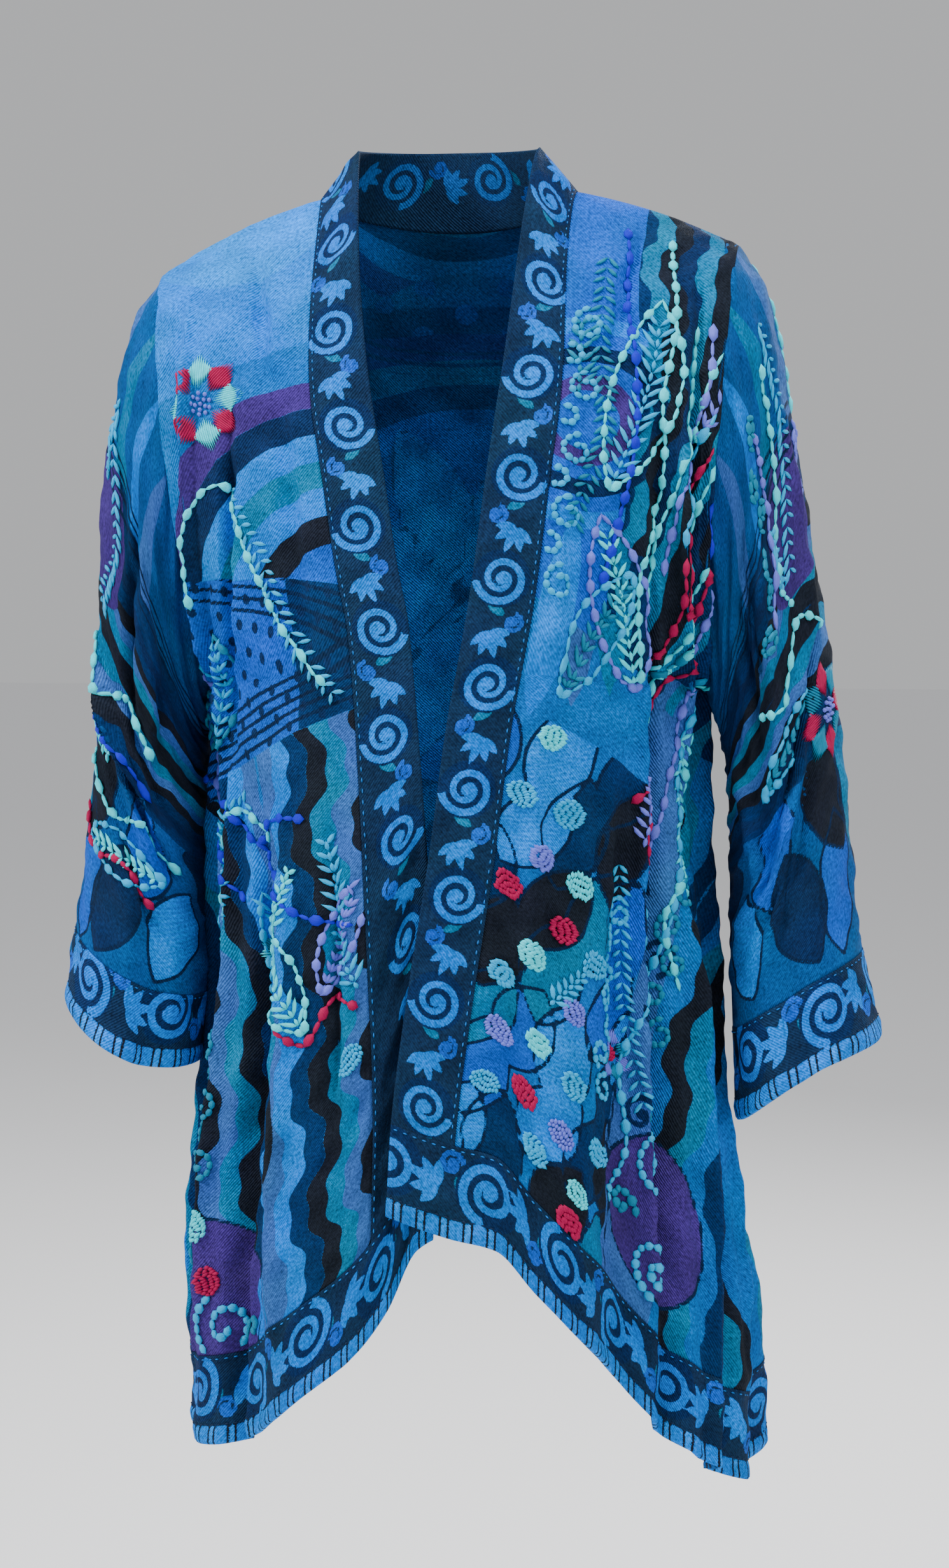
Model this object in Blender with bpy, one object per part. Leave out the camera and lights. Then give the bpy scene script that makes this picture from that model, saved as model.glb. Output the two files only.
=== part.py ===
"""Open-front embroidered jacket in the hollow shape it has when worn.

Metres, +Z up. The wearer faces -Y, and +X is the wearer's left.
The origin lies between the two shoulder-neck points, where the wearer's shoulders carry the jacket.

Body pieces are cut from one surface, body(half, s, q).
  s runs from the front hem (0) over the shoulder seam (1) to the back hem (2).
  q runs across one half, from the centre line (0) to the side seam or armhole (1).
Sleeves are rings, sleeve(half, v, a).
  v runs from the armhole (0) to the cuff's edge (1).
  a runs round the ring, from the underarm up the front, over the top and down the back.
"""

import math

import bmesh
import bpy
import numpy as np

LEFT = 1
RIGHT = -1

# Cloth and seams.
CLOTH = 0.0018
STRIP = 0.0026
STRIP_RAISE = 0.0004
SEAM_GAP = 0.0003
HEM_ROLL = 0.0046
HEM_ROLL_RAISE = 0.0013
CLOTH_ROUGHNESS = 0.8
SHARP_EDGE = 50.0

# Levels of s on the front; the back has the same levels at 2 - s.
BORDER_TOP = 0.10
UNDERARM = 0.60
BACK_HEM = 2.0
BORDER_WIDTH = 0.066
LOWER_ROWS = 11
UPPER_ROWS = 11

# Grid steps.
FRONT_COLUMNS = 20
BAND_COLUMNS = 3
NECK_STATIONS = 7
BACK_OUTER_COLUMNS = 8
SLEEVE_ROWS = 13
CUFF_START = 0.86

# Where the hem's rows lie, as shares of the border's width.
ROLL_ROWS = (0.0, 0.15, 0.25, 0.60, 1.0)
ROLL_SHARE = 0.20

# Shoulders and armholes.
SHOULDER_X = 0.213
SHOULDER_Z = {LEFT: -0.040, RIGHT: -0.055}
UNDERARM_X = {LEFT: 0.190, RIGHT: 0.175}
UNDERARM_Z = -0.360
UNDERARM_MID_Z = -0.345
ARMHOLE_DEPTH = 0.082
SIDE_TURN = 90.0
SHOULDER_TURN = 60.0
SLOPE_POWER = 2.2

# Neck.
NECK_SEAM_X = 0.095
NECK_TOP_X = 0.067
NECK_TOP_Y = 0.066
NECK_TOP_Z = 0.033
NECK_BACK_RISE = 0.006
NECK_DIP = 0.085
BAND_WIDTH = 0.044
BAND_LIFT_START = 0.80
NECK_SHARE_MAX = 0.52


def table(columns, *rows):
    """Turn rows under named columns into one array for each column."""
    return {name: np.array([row[i] for row in rows], dtype=float) for i, name in enumerate(columns)}


# Side seams: half widths of the body at each level.
SIDES = table(
    ("s", "left", "right"),
    (0.00, 0.222, 0.197),
    (0.10, 0.220, 0.198),
    (0.16, 0.215, 0.195),
    (0.24, 0.207, 0.186),
    (0.39, 0.197, 0.170),
    (0.50, 0.192, 0.168),
    (0.60, 0.190, 0.175),
)

# Centre profile: how far the front and back stand from the side seams.
PROFILE = table(
    ("s", "y"),
    (0.00, -0.176),
    (0.25, -0.169),
    (0.45, -0.160),
    (0.60, -0.154),
    (0.70, -0.142),
    (0.80, -0.120),
    (0.90, -0.083),
    (0.96, -0.042),
    (1.00, 0.000),
    (1.05, 0.046),
    (1.12, 0.084),
    (1.22, 0.112),
    (1.32, 0.128),
    (1.42, 0.132),
    (1.55, 0.128),
    (1.70, 0.140),
    (1.85, 0.154),
    (2.00, 0.165),
)

# Height of the centre line above the underarm level.
CREST = table(
    ("s", "z"),
    (0.60, -0.345),
    (0.70, -0.262),
    (0.80, -0.172),
    (0.90, -0.083),
    (0.96, -0.025),
    (1.00, 0.009),
    (1.05, -0.002),
    (1.12, -0.040),
    (1.22, -0.130),
    (1.32, -0.236),
    (1.40, -0.345),
)

# Hems: height at each share of the way from the centre line to the side seam.
HEM_LEFT = table(
    ("across", "z"),
    (-0.10, -0.719),
    (0.12, -0.736),
    (0.26, -0.745),
    (0.38, -0.776),
    (0.52, -0.812),
    (0.64, -0.839),
    (0.80, -0.895),
    (1.00, -0.950),
)
HEM_RIGHT = table(
    ("across", "z"),
    (-0.12, -0.735),
    (0.00, -0.750),
    (0.10, -0.792),
    (0.20, -0.820),
    (0.35, -0.848),
    (0.55, -0.882),
    (0.75, -0.909),
    (1.00, -0.925),
)
HEM_BACK_MID = -0.800
HEM_BACK = table(
    ("across", "share"),
    (0.00, 0.00),
    (0.25, 0.10),
    (0.50, 0.36),
    (0.75, 0.70),
    (1.00, 1.00),
)

# Front edges: distance from the centre line towards the edge's own side.
EDGE_LEFT = table(
    ("s", "x"),
    (0.00, -0.018),
    (0.10, -0.0145),
    (0.25, -0.0035),
    (0.39, 0.009),
    (0.55, 0.0215),
    (0.67, 0.036),
    (0.77, 0.0455),
    (0.87, 0.056),
    (1.00, NECK_TOP_X),
)
EDGE_RIGHT = table(
    ("s", "x"),
    (0.00, -0.012),
    (0.10, -0.013),
    (0.20, -0.014),
    (0.39, -0.008),
    (0.55, -0.001),
    (0.64, 0.006),
    (0.69, 0.015),
    (0.76, 0.0265),
    (0.86, 0.0455),
    (1.00, NECK_TOP_X),
)

# Where the fronts cross, the left one stands out and the right one is pushed in.
LAP = {
    LEFT: {"push": -0.005, "near": -0.02, "far": 0.06, "full": 0.35, "gone": 0.60},
    RIGHT: {"push": 0.016, "near": 0.000, "far": 0.05, "full": 0.30, "gone": 0.55},
}

# Large folds of the body. Depth is outward, and a negative one is a valley.
# A fold's line runs from q_low, at level s_low, to q_high, at level s_high, and "ends" is its fade.
FOLD_COLUMNS = ("q_low", "q_high", "half", "s_low", "s_high", "ends", "depth")
FOLDS = {
    ("front", LEFT): (
        (0.46, 0.52, 0.11, 0.00, 0.56, 0.20, -0.018),
        (0.30, 0.38, 0.11, 0.00, 0.45, 0.18, 0.007),
        (0.64, 0.66, 0.10, 0.00, 0.50, 0.20, 0.009),
        (0.84, 0.86, 0.12, 0.00, 0.34, 0.12, 0.013),
        (0.74, 0.72, 0.08, 0.36, 0.84, 0.14, -0.009),
        (0.88, 0.88, 0.08, 0.40, 0.72, 0.12, -0.007),
    ),
    ("front", RIGHT): (
        (0.28, 0.34, 0.12, 0.00, 0.60, 0.20, 0.008),
        (0.46, 0.46, 0.10, 0.00, 0.50, 0.20, -0.009),
        (0.64, 0.60, 0.12, 0.00, 0.44, 0.16, 0.006),
        (0.80, 0.76, 0.09, 0.30, 0.78, 0.14, -0.008),
        (0.84, 0.86, 0.10, 0.00, 0.26, 0.12, -0.006),
    ),
    ("back", LEFT): (
        (0.22, 0.18, 0.13, 0.00, 0.46, 0.30, 0.012),
        (0.44, 0.38, 0.11, 0.00, 0.52, 0.30, -0.014),
        (0.82, 0.82, 0.15, 0.00, 0.30, 0.16, 0.026),
        (0.74, 0.76, 0.09, 0.38, 0.80, 0.14, -0.007),
    ),
    ("back", RIGHT): (
        (0.14, 0.16, 0.12, 0.00, 0.50, 0.30, -0.011),
        (0.36, 0.32, 0.12, 0.00, 0.46, 0.28, 0.011),
        (0.60, 0.54, 0.12, 0.00, 0.50, 0.28, -0.013),
        (0.80, 0.80, 0.12, 0.00, 0.34, 0.18, 0.009),
    ),
}

# Sleeve rings: the outer point (from the shoulder), the inner point (from the underarm) and the depth to the front
# and back of them.
SLEEVE_COLUMNS = ("v", "outer_x", "outer_y", "outer_z", "inner_x", "inner_y", "inner_z", "depth")
SLEEVES = {
    LEFT: table(
        SLEEVE_COLUMNS,
        (0.00, SHOULDER_X, 0.000, SHOULDER_Z[LEFT], UNDERARM_X[LEFT], 0.000, UNDERARM_Z, ARMHOLE_DEPTH),
        (0.08, 0.235, 0.000, -0.078, 0.197, -0.002, -0.380, 0.081),
        (0.20, 0.250, 0.000, -0.155, 0.204, -0.004, -0.402, 0.077),
        (0.34, 0.266, 0.000, -0.245, 0.208, -0.008, -0.430, 0.073),
        (0.50, 0.283, -0.005, -0.345, 0.210, -0.012, -0.470, 0.070),
        (0.65, 0.295, -0.012, -0.435, 0.211, -0.020, -0.520, 0.068),
        (0.80, 0.303, -0.022, -0.520, 0.213, -0.030, -0.580, 0.068),
        (1.00, 0.321, -0.035, -0.611, 0.219, -0.042, -0.672, 0.071),
    ),
    RIGHT: table(
        SLEEVE_COLUMNS,
        (0.00, SHOULDER_X, 0.000, SHOULDER_Z[RIGHT], UNDERARM_X[RIGHT], 0.000, UNDERARM_Z, ARMHOLE_DEPTH),
        (0.08, 0.235, 0.000, -0.092, 0.180, -0.002, -0.380, 0.081),
        (0.20, 0.250, 0.000, -0.155, 0.182, -0.004, -0.402, 0.077),
        (0.34, 0.262, 0.000, -0.245, 0.182, -0.008, -0.430, 0.073),
        (0.50, 0.262, -0.005, -0.340, 0.180, -0.012, -0.468, 0.070),
        (0.65, 0.266, -0.012, -0.425, 0.179, -0.020, -0.515, 0.068),
        (0.80, 0.275, -0.022, -0.512, 0.178, -0.030, -0.568, 0.068),
        (1.00, 0.283, -0.035, -0.588, 0.183, -0.042, -0.640, 0.071),
    ),
}
CUFF_DROOP = {LEFT: -0.012, RIGHT: 0.010}

# Folds of the sleeves. The line runs from degrees a_low at v_low to a_high at v_high.
SLEEVE_FOLD_COLUMNS = ("a_low", "a_high", "half", "v_low", "v_high", "ends", "depth")
SLEEVE_FOLDS = {
    LEFT: (
        (62.0, 96.0, 26.0, 0.40, 1.00, 0.20, -0.007),
        (120.0, 128.0, 24.0, 0.06, 0.52, 0.18, -0.006),
        (150.0, 60.0, 22.0, 0.44, 0.66, 0.10, -0.005),
        (250.0, 262.0, 28.0, 0.10, 0.80, 0.20, -0.007),
        (305.0, 290.0, 26.0, 0.50, 1.00, 0.20, 0.005),
    ),
    RIGHT: (
        (70.0, 58.0, 24.0, 0.66, 1.00, 0.14, -0.009),
        (150.0, 50.0, 22.0, 0.38, 0.56, 0.10, -0.008),
        (140.0, 60.0, 20.0, 0.54, 0.70, 0.08, -0.006),
        (110.0, 118.0, 26.0, 0.06, 0.40, 0.16, -0.006),
        (255.0, 240.0, 28.0, 0.12, 0.84, 0.20, -0.007),
    ),
}

STEP = 0.002

# The armhole seam: how near to it the pieces are looked at, and the slope at which their edges are fully mitred.
BODY_NEAR_SEAM = 0.97
SLEEVE_NEAR_SEAM = 0.02
RIDGE_FULL = 0.15


def mix(low, high, share):
    return low + (high - low) * share


def ease(share):
    share = np.clip(share, 0.0, 1.0)
    return share * share * (3.0 - 2.0 * share)


def unit(vectors):
    return vectors / np.maximum(np.linalg.norm(vectors, axis=-1, keepdims=True), 1e-12)


def read(columns, key, value, at):
    """Read a column at any place along its key, smoothly and without overshoot."""
    keys = columns[key]
    values = columns[value]
    steps = np.diff(keys)
    slopes = np.diff(values) / steps
    tangents = np.empty(len(keys))
    tangents[0] = slopes[0]
    tangents[-1] = slopes[-1]
    for i in range(1, len(keys) - 1):
        before = slopes[i - 1]
        after = slopes[i]
        tangents[i] = 2.0 * before * after / (before + after) if before * after > 0.0 else 0.0
    at = np.asarray(at, dtype=float)
    i = np.clip(np.searchsorted(keys, at, side="right") - 1, 0, len(keys) - 2)
    t = (at - keys[i]) / steps[i]
    return (
        (1.0 + 2.0 * t) * (1.0 - t) ** 2 * values[i]
        + t * (1.0 - t) ** 2 * steps[i] * tangents[i]
        + t * t * (3.0 - 2.0 * t) * values[i + 1]
        + t * t * (t - 1.0) * steps[i] * tangents[i + 1]
    )


def bump(distance, half_width):
    """A soft ridge of height 1 that is gone at half_width."""
    return np.where(
        np.abs(distance) < half_width,
        0.5 + 0.5 * np.cos(math.pi * distance / half_width),
        0.0,
    )


def turn_at(s):
    """Angle through which a row turns from the centre line to its outer end."""
    level = np.minimum(s, 2.0 - s)
    rise = np.clip((level - UNDERARM) / (1.0 - UNDERARM), 0.0, 1.0)
    return np.radians(mix(SIDE_TURN, SHOULDER_TURN, ease(rise)))


def row_width(half, s):
    """Distance of the side seam or armhole from the centre line."""
    level = np.minimum(s, 2.0 - s)
    side = read(SIDES, "s", "left" if half == LEFT else "right", np.clip(level, -0.1, UNDERARM))
    rise = np.clip((level - UNDERARM) / (1.0 - UNDERARM), 0.0, 1.0)
    arm = 0.5 - 0.5 * np.cos(math.pi * rise)
    return np.where(level < UNDERARM, side, mix(UNDERARM_X[half], SHOULDER_X, arm))


def place_of(half, s, x):
    """The q at which a row is x from the centre line."""
    turn = turn_at(s)
    return np.arcsin(np.clip(x / row_width(half, s) * np.sin(turn), -1.0, 1.0)) / turn


def lap_push(half, level, x):
    """Shift in Y that lets the left front lie on the right one."""
    lap = LAP[half]
    near = 1.0 - ease((x - lap["near"]) / (lap["far"] - lap["near"]))
    low = 1.0 - ease((level - lap["full"]) / (lap["gone"] - lap["full"]))
    return lap["push"] * near * low


def body_plain(half, s, q):
    """Point of the body surface without its folds."""
    s, q = np.broadcast_arrays(np.asarray(s, dtype=float), np.asarray(q, dtype=float))
    level = np.minimum(s, 2.0 - s)
    face = np.where(s <= 1.0, -1.0, 1.0)
    rise = np.clip((level - UNDERARM) / (1.0 - UNDERARM), 0.0, 1.0) * math.pi
    arm = 0.5 - 0.5 * np.cos(rise)
    turn = turn_at(s)
    angle = q * turn
    across = np.sin(angle) / np.sin(turn)
    x = row_width(half, s) * across

    side_y = face * ARMHOLE_DEPTH * np.sin(rise)
    mid_y = read(PROFILE, "s", "y", s)
    y = mid_y + (side_y - mid_y) * (1.0 - np.cos(angle)) / (1.0 - np.cos(turn))
    y = y + np.where(face < 0.0, lap_push(half, level, x), 0.0)

    front_hem = HEM_LEFT if half == LEFT else HEM_RIGHT
    side_hem = front_hem["z"][-1]
    back_share = read(HEM_BACK, "across", "share", np.abs(across))
    hem = np.where(
        face < 0.0,
        read(front_hem, "across", "z", across),
        mix(HEM_BACK_MID, side_hem, back_share),
    )
    spread = np.abs(across) ** SLOPE_POWER
    border_z = hem + BORDER_WIDTH * level / BORDER_TOP
    under_z = mix(UNDERARM_MID_Z, UNDERARM_Z, spread)
    skirt_z = mix(hem + BORDER_WIDTH, under_z, (level - BORDER_TOP) / (UNDERARM - BORDER_TOP))
    crest_z = read(CREST, "s", "z", np.clip(s, UNDERARM, 2.0 - UNDERARM))
    chest_z = mix(crest_z, mix(UNDERARM_Z, SHOULDER_Z[half], arm), spread)
    z = np.where(level <= BORDER_TOP, border_z, np.where(level <= UNDERARM, skirt_z, chest_z))
    return np.stack([half * x, y, z], axis=-1)


def body_fold(half, s, q):
    """How far the folds move the body surface outward."""
    level = np.minimum(s, 2.0 - s)
    depth = np.zeros(np.broadcast(s, q).shape)
    for face, on_face in (("front", s <= 1.0), ("back", s > 1.0)):
        for row in FOLDS[(face, half)]:
            fold = dict(zip(FOLD_COLUMNS, row))
            along = (level - fold["s_low"]) / (fold["s_high"] - fold["s_low"])
            line = mix(fold["q_low"], fold["q_high"], along)
            reach = ease((fold["s_high"] - level) / fold["ends"])
            if fold["s_low"] > 0.0:
                reach = reach * ease((level - fold["s_low"]) / fold["ends"])
            depth = depth + on_face * reach * fold["depth"] * bump(q - line, fold["half"])
    return depth


def normals_of(surface, half, first, second, way=1):
    """Outward unit normals of surface(half, first, second), by differences.

    way is -1 where second turns about first the other way, as on a sleeve.
    """
    along_first = surface(half, first + STEP, second) - surface(half, first - STEP, second)
    along_second = surface(half, first, second + STEP) - surface(half, first, second - STEP)
    return way * half * unit(np.cross(along_second, along_first))


def body_folded(half, s, q):
    normal = normals_of(body_plain, half, s, q)
    return body_plain(half, s, q) + normal * body_fold(half, s, q)[..., None]


def body(half, s, q):
    """Points and normals of the finished body surface."""
    s, q = np.broadcast_arrays(np.asarray(s, dtype=float), np.asarray(q, dtype=float))
    return body_folded(half, s, q), normals_of(body_folded, half, s, q)


def edge_place(half, s):
    """The q of a front's free edge."""
    columns = EDGE_LEFT if half == LEFT else EDGE_RIGHT
    return place_of(half, s, read(columns, "s", "x", s))


def seam_place(half, s):
    """The q of the seam between a front and its band."""
    columns = EDGE_LEFT if half == LEFT else EDGE_RIGHT
    top = ease((s - BAND_LIFT_START) / (1.0 - BAND_LIFT_START))
    width = mix(BAND_WIDTH, NECK_SEAM_X - NECK_TOP_X, top)
    return place_of(half, s, read(columns, "s", "x", s) + width)


def neck_line(half, t):
    """Level and place of the back neck seam; t runs from 1 at the shoulder to 1.5 at the centre."""
    angle = (t - 1.0) * math.pi
    s = 1.0 + NECK_DIP * np.sin(angle)
    return s, place_of(half, s, NECK_SEAM_X * np.cos(angle))


def band_surface(half, t, w):
    """The band from the hem border (t = 0.1) to the shoulder (1) and the centre back (1.5).

    w is 0 at the free edge and 1 at the seam.
    """
    t, w = np.broadcast_arrays(np.asarray(t, dtype=float), np.asarray(w, dtype=float))
    low = np.minimum(t, 1.0)
    low_q = mix(edge_place(half, low), seam_place(half, low), w)
    front = body_folded(half, low, low_q)
    shoulder_edge = body_plain(half, np.array(1.0), edge_place(half, np.array(1.0)))
    lift = (NECK_TOP_Z - shoulder_edge[2]) * ease((low - BAND_LIFT_START) / (1.0 - BAND_LIFT_START))
    front[..., 2] += lift * (1.0 - w)

    angle = np.clip(t - 1.0, 0.0, NECK_SHARE_MAX) * math.pi
    s, q = neck_line(half, np.maximum(t, 1.0))
    seam = body_folded(half, s, q)
    top = np.stack(
        [
            half * NECK_TOP_X * np.cos(angle),
            NECK_TOP_Y * np.sin(angle),
            NECK_TOP_Z + NECK_BACK_RISE * np.sin(angle),
        ],
        axis=-1,
    )
    neck = mix(top, seam, w[..., None])
    return np.where((t <= 1.0)[..., None], front, neck)


def sleeve_plain(half, v, a):
    v, a = np.broadcast_arrays(np.asarray(v, dtype=float), np.asarray(a, dtype=float))
    rings = SLEEVES[half]
    outer = [read(rings, "v", "outer_" + axis, v) for axis in "xyz"]
    inner = [read(rings, "v", "inner_" + axis, v) for axis in "xyz"]
    share = 0.5 - 0.5 * np.cos(a)
    x, y, z = (mix(low, high, share) for low, high in zip(inner, outer))
    y = y - read(rings, "v", "depth", v) * np.sin(a)
    z = z - CUFF_DROOP[half] * np.clip(v, 0.0, 1.1) ** 4 * np.sin(a) ** 2
    return np.stack([half * x, y, z], axis=-1)


def sleeve_fold(half, v, a):
    degrees = np.degrees(a)
    depth = np.zeros(np.broadcast(v, a).shape)
    for row in SLEEVE_FOLDS[half]:
        fold = dict(zip(SLEEVE_FOLD_COLUMNS, row))
        along = (v - fold["v_low"]) / (fold["v_high"] - fold["v_low"])
        line = mix(fold["a_low"], fold["a_high"], along)
        reach = ease((v - fold["v_low"]) / fold["ends"])
        if fold["v_high"] < 1.0:
            reach = reach * ease((fold["v_high"] - v) / fold["ends"])
        depth = depth + reach * fold["depth"] * bump(degrees - line, fold["half"])
    return depth


def sleeve_folded(half, v, a):
    normal = normals_of(sleeve_plain, half, v, a, way=-1)
    return sleeve_plain(half, v, a) + normal * sleeve_fold(half, v, a)[..., None]


def sleeve(half, v, a):
    v, a = np.broadcast_arrays(np.asarray(v, dtype=float), np.asarray(a, dtype=float))
    return sleeve_folded(half, v, a), normals_of(sleeve_folded, half, v, a, way=-1)


def armhole_turns():
    """Ring angles that meet the body's rows at the armhole, underarm first."""
    steps = 2 * UPPER_ROWS
    return np.arange(steps) * 2.0 * math.pi / steps


def lean(own, other, other_way):
    """Normals shared by two pieces where their seam is a ridge, so that their edges are mitred."""
    ridge = np.clip(-np.sum(own * other_way, axis=-1) / RIDGE_FULL, 0.0, 1.0)
    return unit(own + ridge[..., None] * other)


def armhole_normals(half):
    """Normals at the armhole seam for the body and for the sleeve."""
    turns = armhole_turns()
    steps = 1.0 - np.abs(turns / math.pi - 1.0)
    level = mix(UNDERARM, 1.0, steps)
    s = np.where(turns <= math.pi, level, 2.0 - level)
    body_points, body_normals = body(half, s, np.ones(len(s)))
    sleeve_points, sleeve_normals = sleeve(half, np.zeros(len(s)), turns)
    body_way = unit(body_folded(half, s, np.full(len(s), BODY_NEAR_SEAM)) - body_points)
    sleeve_way = unit(sleeve_folded(half, np.full(len(s), SLEEVE_NEAR_SEAM), turns) - sleeve_points)
    return lean(body_normals, sleeve_normals, sleeve_way), lean(sleeve_normals, body_normals, body_way)


def pull_back(points, rows=(), columns=()):
    """Draw the named edges of a grid back by half the seam gap."""
    moved = points.copy()
    for edge, inside in rows:
        moved[edge] += unit(points[inside] - points[edge]) * SEAM_GAP / 2
    for edge, inside in columns:
        moved[:, edge] += unit(points[:, inside] - points[:, edge]) * SEAM_GAP / 2
    return moved


def make_material(name, colour, roughness):
    material = bpy.data.materials.new(name)
    material.use_nodes = True
    shader = material.node_tree.nodes["Principled BSDF"]
    shader.inputs["Base Color"].default_value = (*colour, 1.0)
    shader.inputs["Roughness"].default_value = roughness
    shader.inputs["Metallic"].default_value = 0.0
    return material


def make_wall(name, points, normals, raised, thickness, colour, closed=False):
    """Make one closed cloth wall from a grid of outer points.

    raised and thickness are single lengths or one length for each row. A closed wall joins its last column to its
    first, as a tube does.
    """
    rows, columns = points.shape[:2]
    raised = np.broadcast_to(np.asarray(raised, dtype=float).reshape(-1, 1, 1), (rows, 1, 1))
    thickness = np.broadcast_to(np.asarray(thickness, dtype=float).reshape(-1, 1, 1), (rows, 1, 1))
    outer = points + normals * raised
    inner = outer - normals * thickness
    work = bmesh.new()
    skins = []
    for skin in (outer, inner):
        skins.append([[work.verts.new(point) for point in row] for row in skin])
    last = columns if closed else columns - 1
    for r in range(rows - 1):
        for c in range(last):
            d = (c + 1) % columns
            work.faces.new([skins[0][r][c], skins[0][r][d], skins[0][r + 1][d], skins[0][r + 1][c]])
            work.faces.new([skins[1][r][c], skins[1][r + 1][c], skins[1][r + 1][d], skins[1][r][d]])
    for c in range(last):
        d = (c + 1) % columns
        work.faces.new([skins[0][0][c], skins[1][0][c], skins[1][0][d], skins[0][0][d]])
        work.faces.new([skins[0][-1][c], skins[0][-1][d], skins[1][-1][d], skins[1][-1][c]])
    if not closed:
        for r in range(rows - 1):
            work.faces.new([skins[0][r][0], skins[0][r + 1][0], skins[1][r + 1][0], skins[1][r][0]])
            work.faces.new([skins[0][r][-1], skins[1][r][-1], skins[1][r + 1][-1], skins[0][r + 1][-1]])
    if work.calc_volume(signed=True) < 0.0:
        bmesh.ops.reverse_faces(work, faces=work.faces)
    mesh = bpy.data.meshes.new(name)
    work.to_mesh(mesh)
    work.free()
    mesh.shade_smooth()
    mesh.set_sharp_from_angle(angle=math.radians(SHARP_EDGE))
    mesh.materials.append(make_material(name + "_cloth", colour, CLOTH_ROUGHNESS))
    piece = bpy.data.objects.new(name, mesh)
    bpy.context.scene.collection.objects.link(piece)
    return piece


def hem_levels():
    return np.array(ROLL_ROWS) * BORDER_TOP


def hem_walls():
    """Raised height and thickness of a border, row by row from its free edge."""
    rolled = np.array([share < ROLL_SHARE for share in ROLL_ROWS])
    return np.where(rolled, HEM_ROLL_RAISE, STRIP_RAISE), np.where(rolled, HEM_ROLL, STRIP)


def panel_levels():
    """Rows of a front or back panel, from the border's top to the shoulder."""
    lower = np.linspace(BORDER_TOP, UNDERARM, LOWER_ROWS + 1)
    upper = np.linspace(UNDERARM, 1.0, UPPER_ROWS + 1)
    return np.concatenate([lower, upper[1:]])


def front_panel(half, name, colour):
    s = panel_levels()[:, None]
    q = mix(seam_place(half, s), 1.0, np.linspace(0.0, 1.0, FRONT_COLUMNS + 1)[None, :])
    points, normals = body(half, s, q)
    body_side = armhole_normals(half)[0]
    normals[LOWER_ROWS:, -1] = body_side[: UPPER_ROWS + 1]
    points = pull_back(points, rows=((0, 1), (-1, -2)), columns=((0, 1), (-1, -2)))
    make_wall(name, points, normals, 0.0, CLOTH, colour)


def front_border(half, name, colour):
    s = hem_levels()[:, None]
    band = np.linspace(0.0, 1.0, BAND_COLUMNS + 1)
    panel = np.linspace(0.0, 1.0, FRONT_COLUMNS + 1)
    band_q = mix(edge_place(half, s), seam_place(half, s), band[None, :])
    panel_q = mix(seam_place(half, s), 1.0, panel[None, 1:])
    points, normals = body(half, s, np.concatenate([band_q, panel_q], axis=1))
    points = pull_back(points, rows=((-1, -2),), columns=((-1, -2),))
    raised, thickness = hem_walls()
    make_wall(name, points, normals, raised, thickness, colour)


def front_band(half, name, colour):
    t = panel_levels()[:, None]
    w = np.linspace(0.0, 1.0, BAND_COLUMNS + 1)[None, :]
    points = band_surface(half, t, w)
    normals = normals_of(band_surface, half, t, w)
    points = pull_back(points, rows=((0, 1), (-1, -2)), columns=((-1, -2),))
    make_wall(name, points, normals, STRIP_RAISE, STRIP, colour)


def back_places():
    """Columns of the back, from its right side seam to its left one: half and q in each row."""
    t = np.linspace(1.5, 1.0, NECK_STATIONS + 1)
    columns = []
    for half in (RIGHT, LEFT):
        neck_s, neck_q = neck_line(half, t)
        outer = mix(neck_q[-1], 1.0, np.linspace(0.0, 1.0, BACK_OUTER_COLUMNS + 1)[1:])
        tops = np.concatenate([neck_s, np.ones(BACK_OUTER_COLUMNS)])
        places = np.concatenate([neck_q, outer])
        side = [(half, top, place) for top, place in zip(tops, places)]
        columns.append(side)
    return columns[0][:0:-1] + columns[1]


def back_grid(levels_of):
    """Points and normals of the back's columns. levels_of gives a column's levels from the top's level."""
    points = []
    normals = []
    for half, top, place in back_places():
        column_points, column_normals = body(half, levels_of(top), place)
        points.append(column_points)
        normals.append(column_normals)
    return np.stack(points, axis=1), np.stack(normals, axis=1)


def back_panel(name, colour):
    front = panel_levels()
    share = (front[LOWER_ROWS:] - UNDERARM) / (1.0 - UNDERARM)

    def levels(top):
        lower = 2.0 - front[:LOWER_ROWS]
        return np.concatenate([lower, mix(2.0 - UNDERARM, top, share)])

    points, normals = back_grid(levels)
    for half, column in ((RIGHT, 0), (LEFT, -1)):
        body_side = armhole_normals(half)[0]
        ring = np.concatenate([body_side[:1], body_side[:UPPER_ROWS - 1:-1]])
        normals[LOWER_ROWS:, column] = ring
    points = pull_back(points, rows=((0, 1), (-1, -2)), columns=((0, 1), (-1, -2)))
    make_wall(name, points, normals, 0.0, CLOTH, colour)


def back_border(name, colour):
    points, normals = back_grid(lambda top: BACK_HEM - hem_levels())
    points = pull_back(points, rows=((-1, -2),), columns=((0, 1), (-1, -2)))
    raised, thickness = hem_walls()
    make_wall(name, points, normals, raised, thickness, colour)


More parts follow.
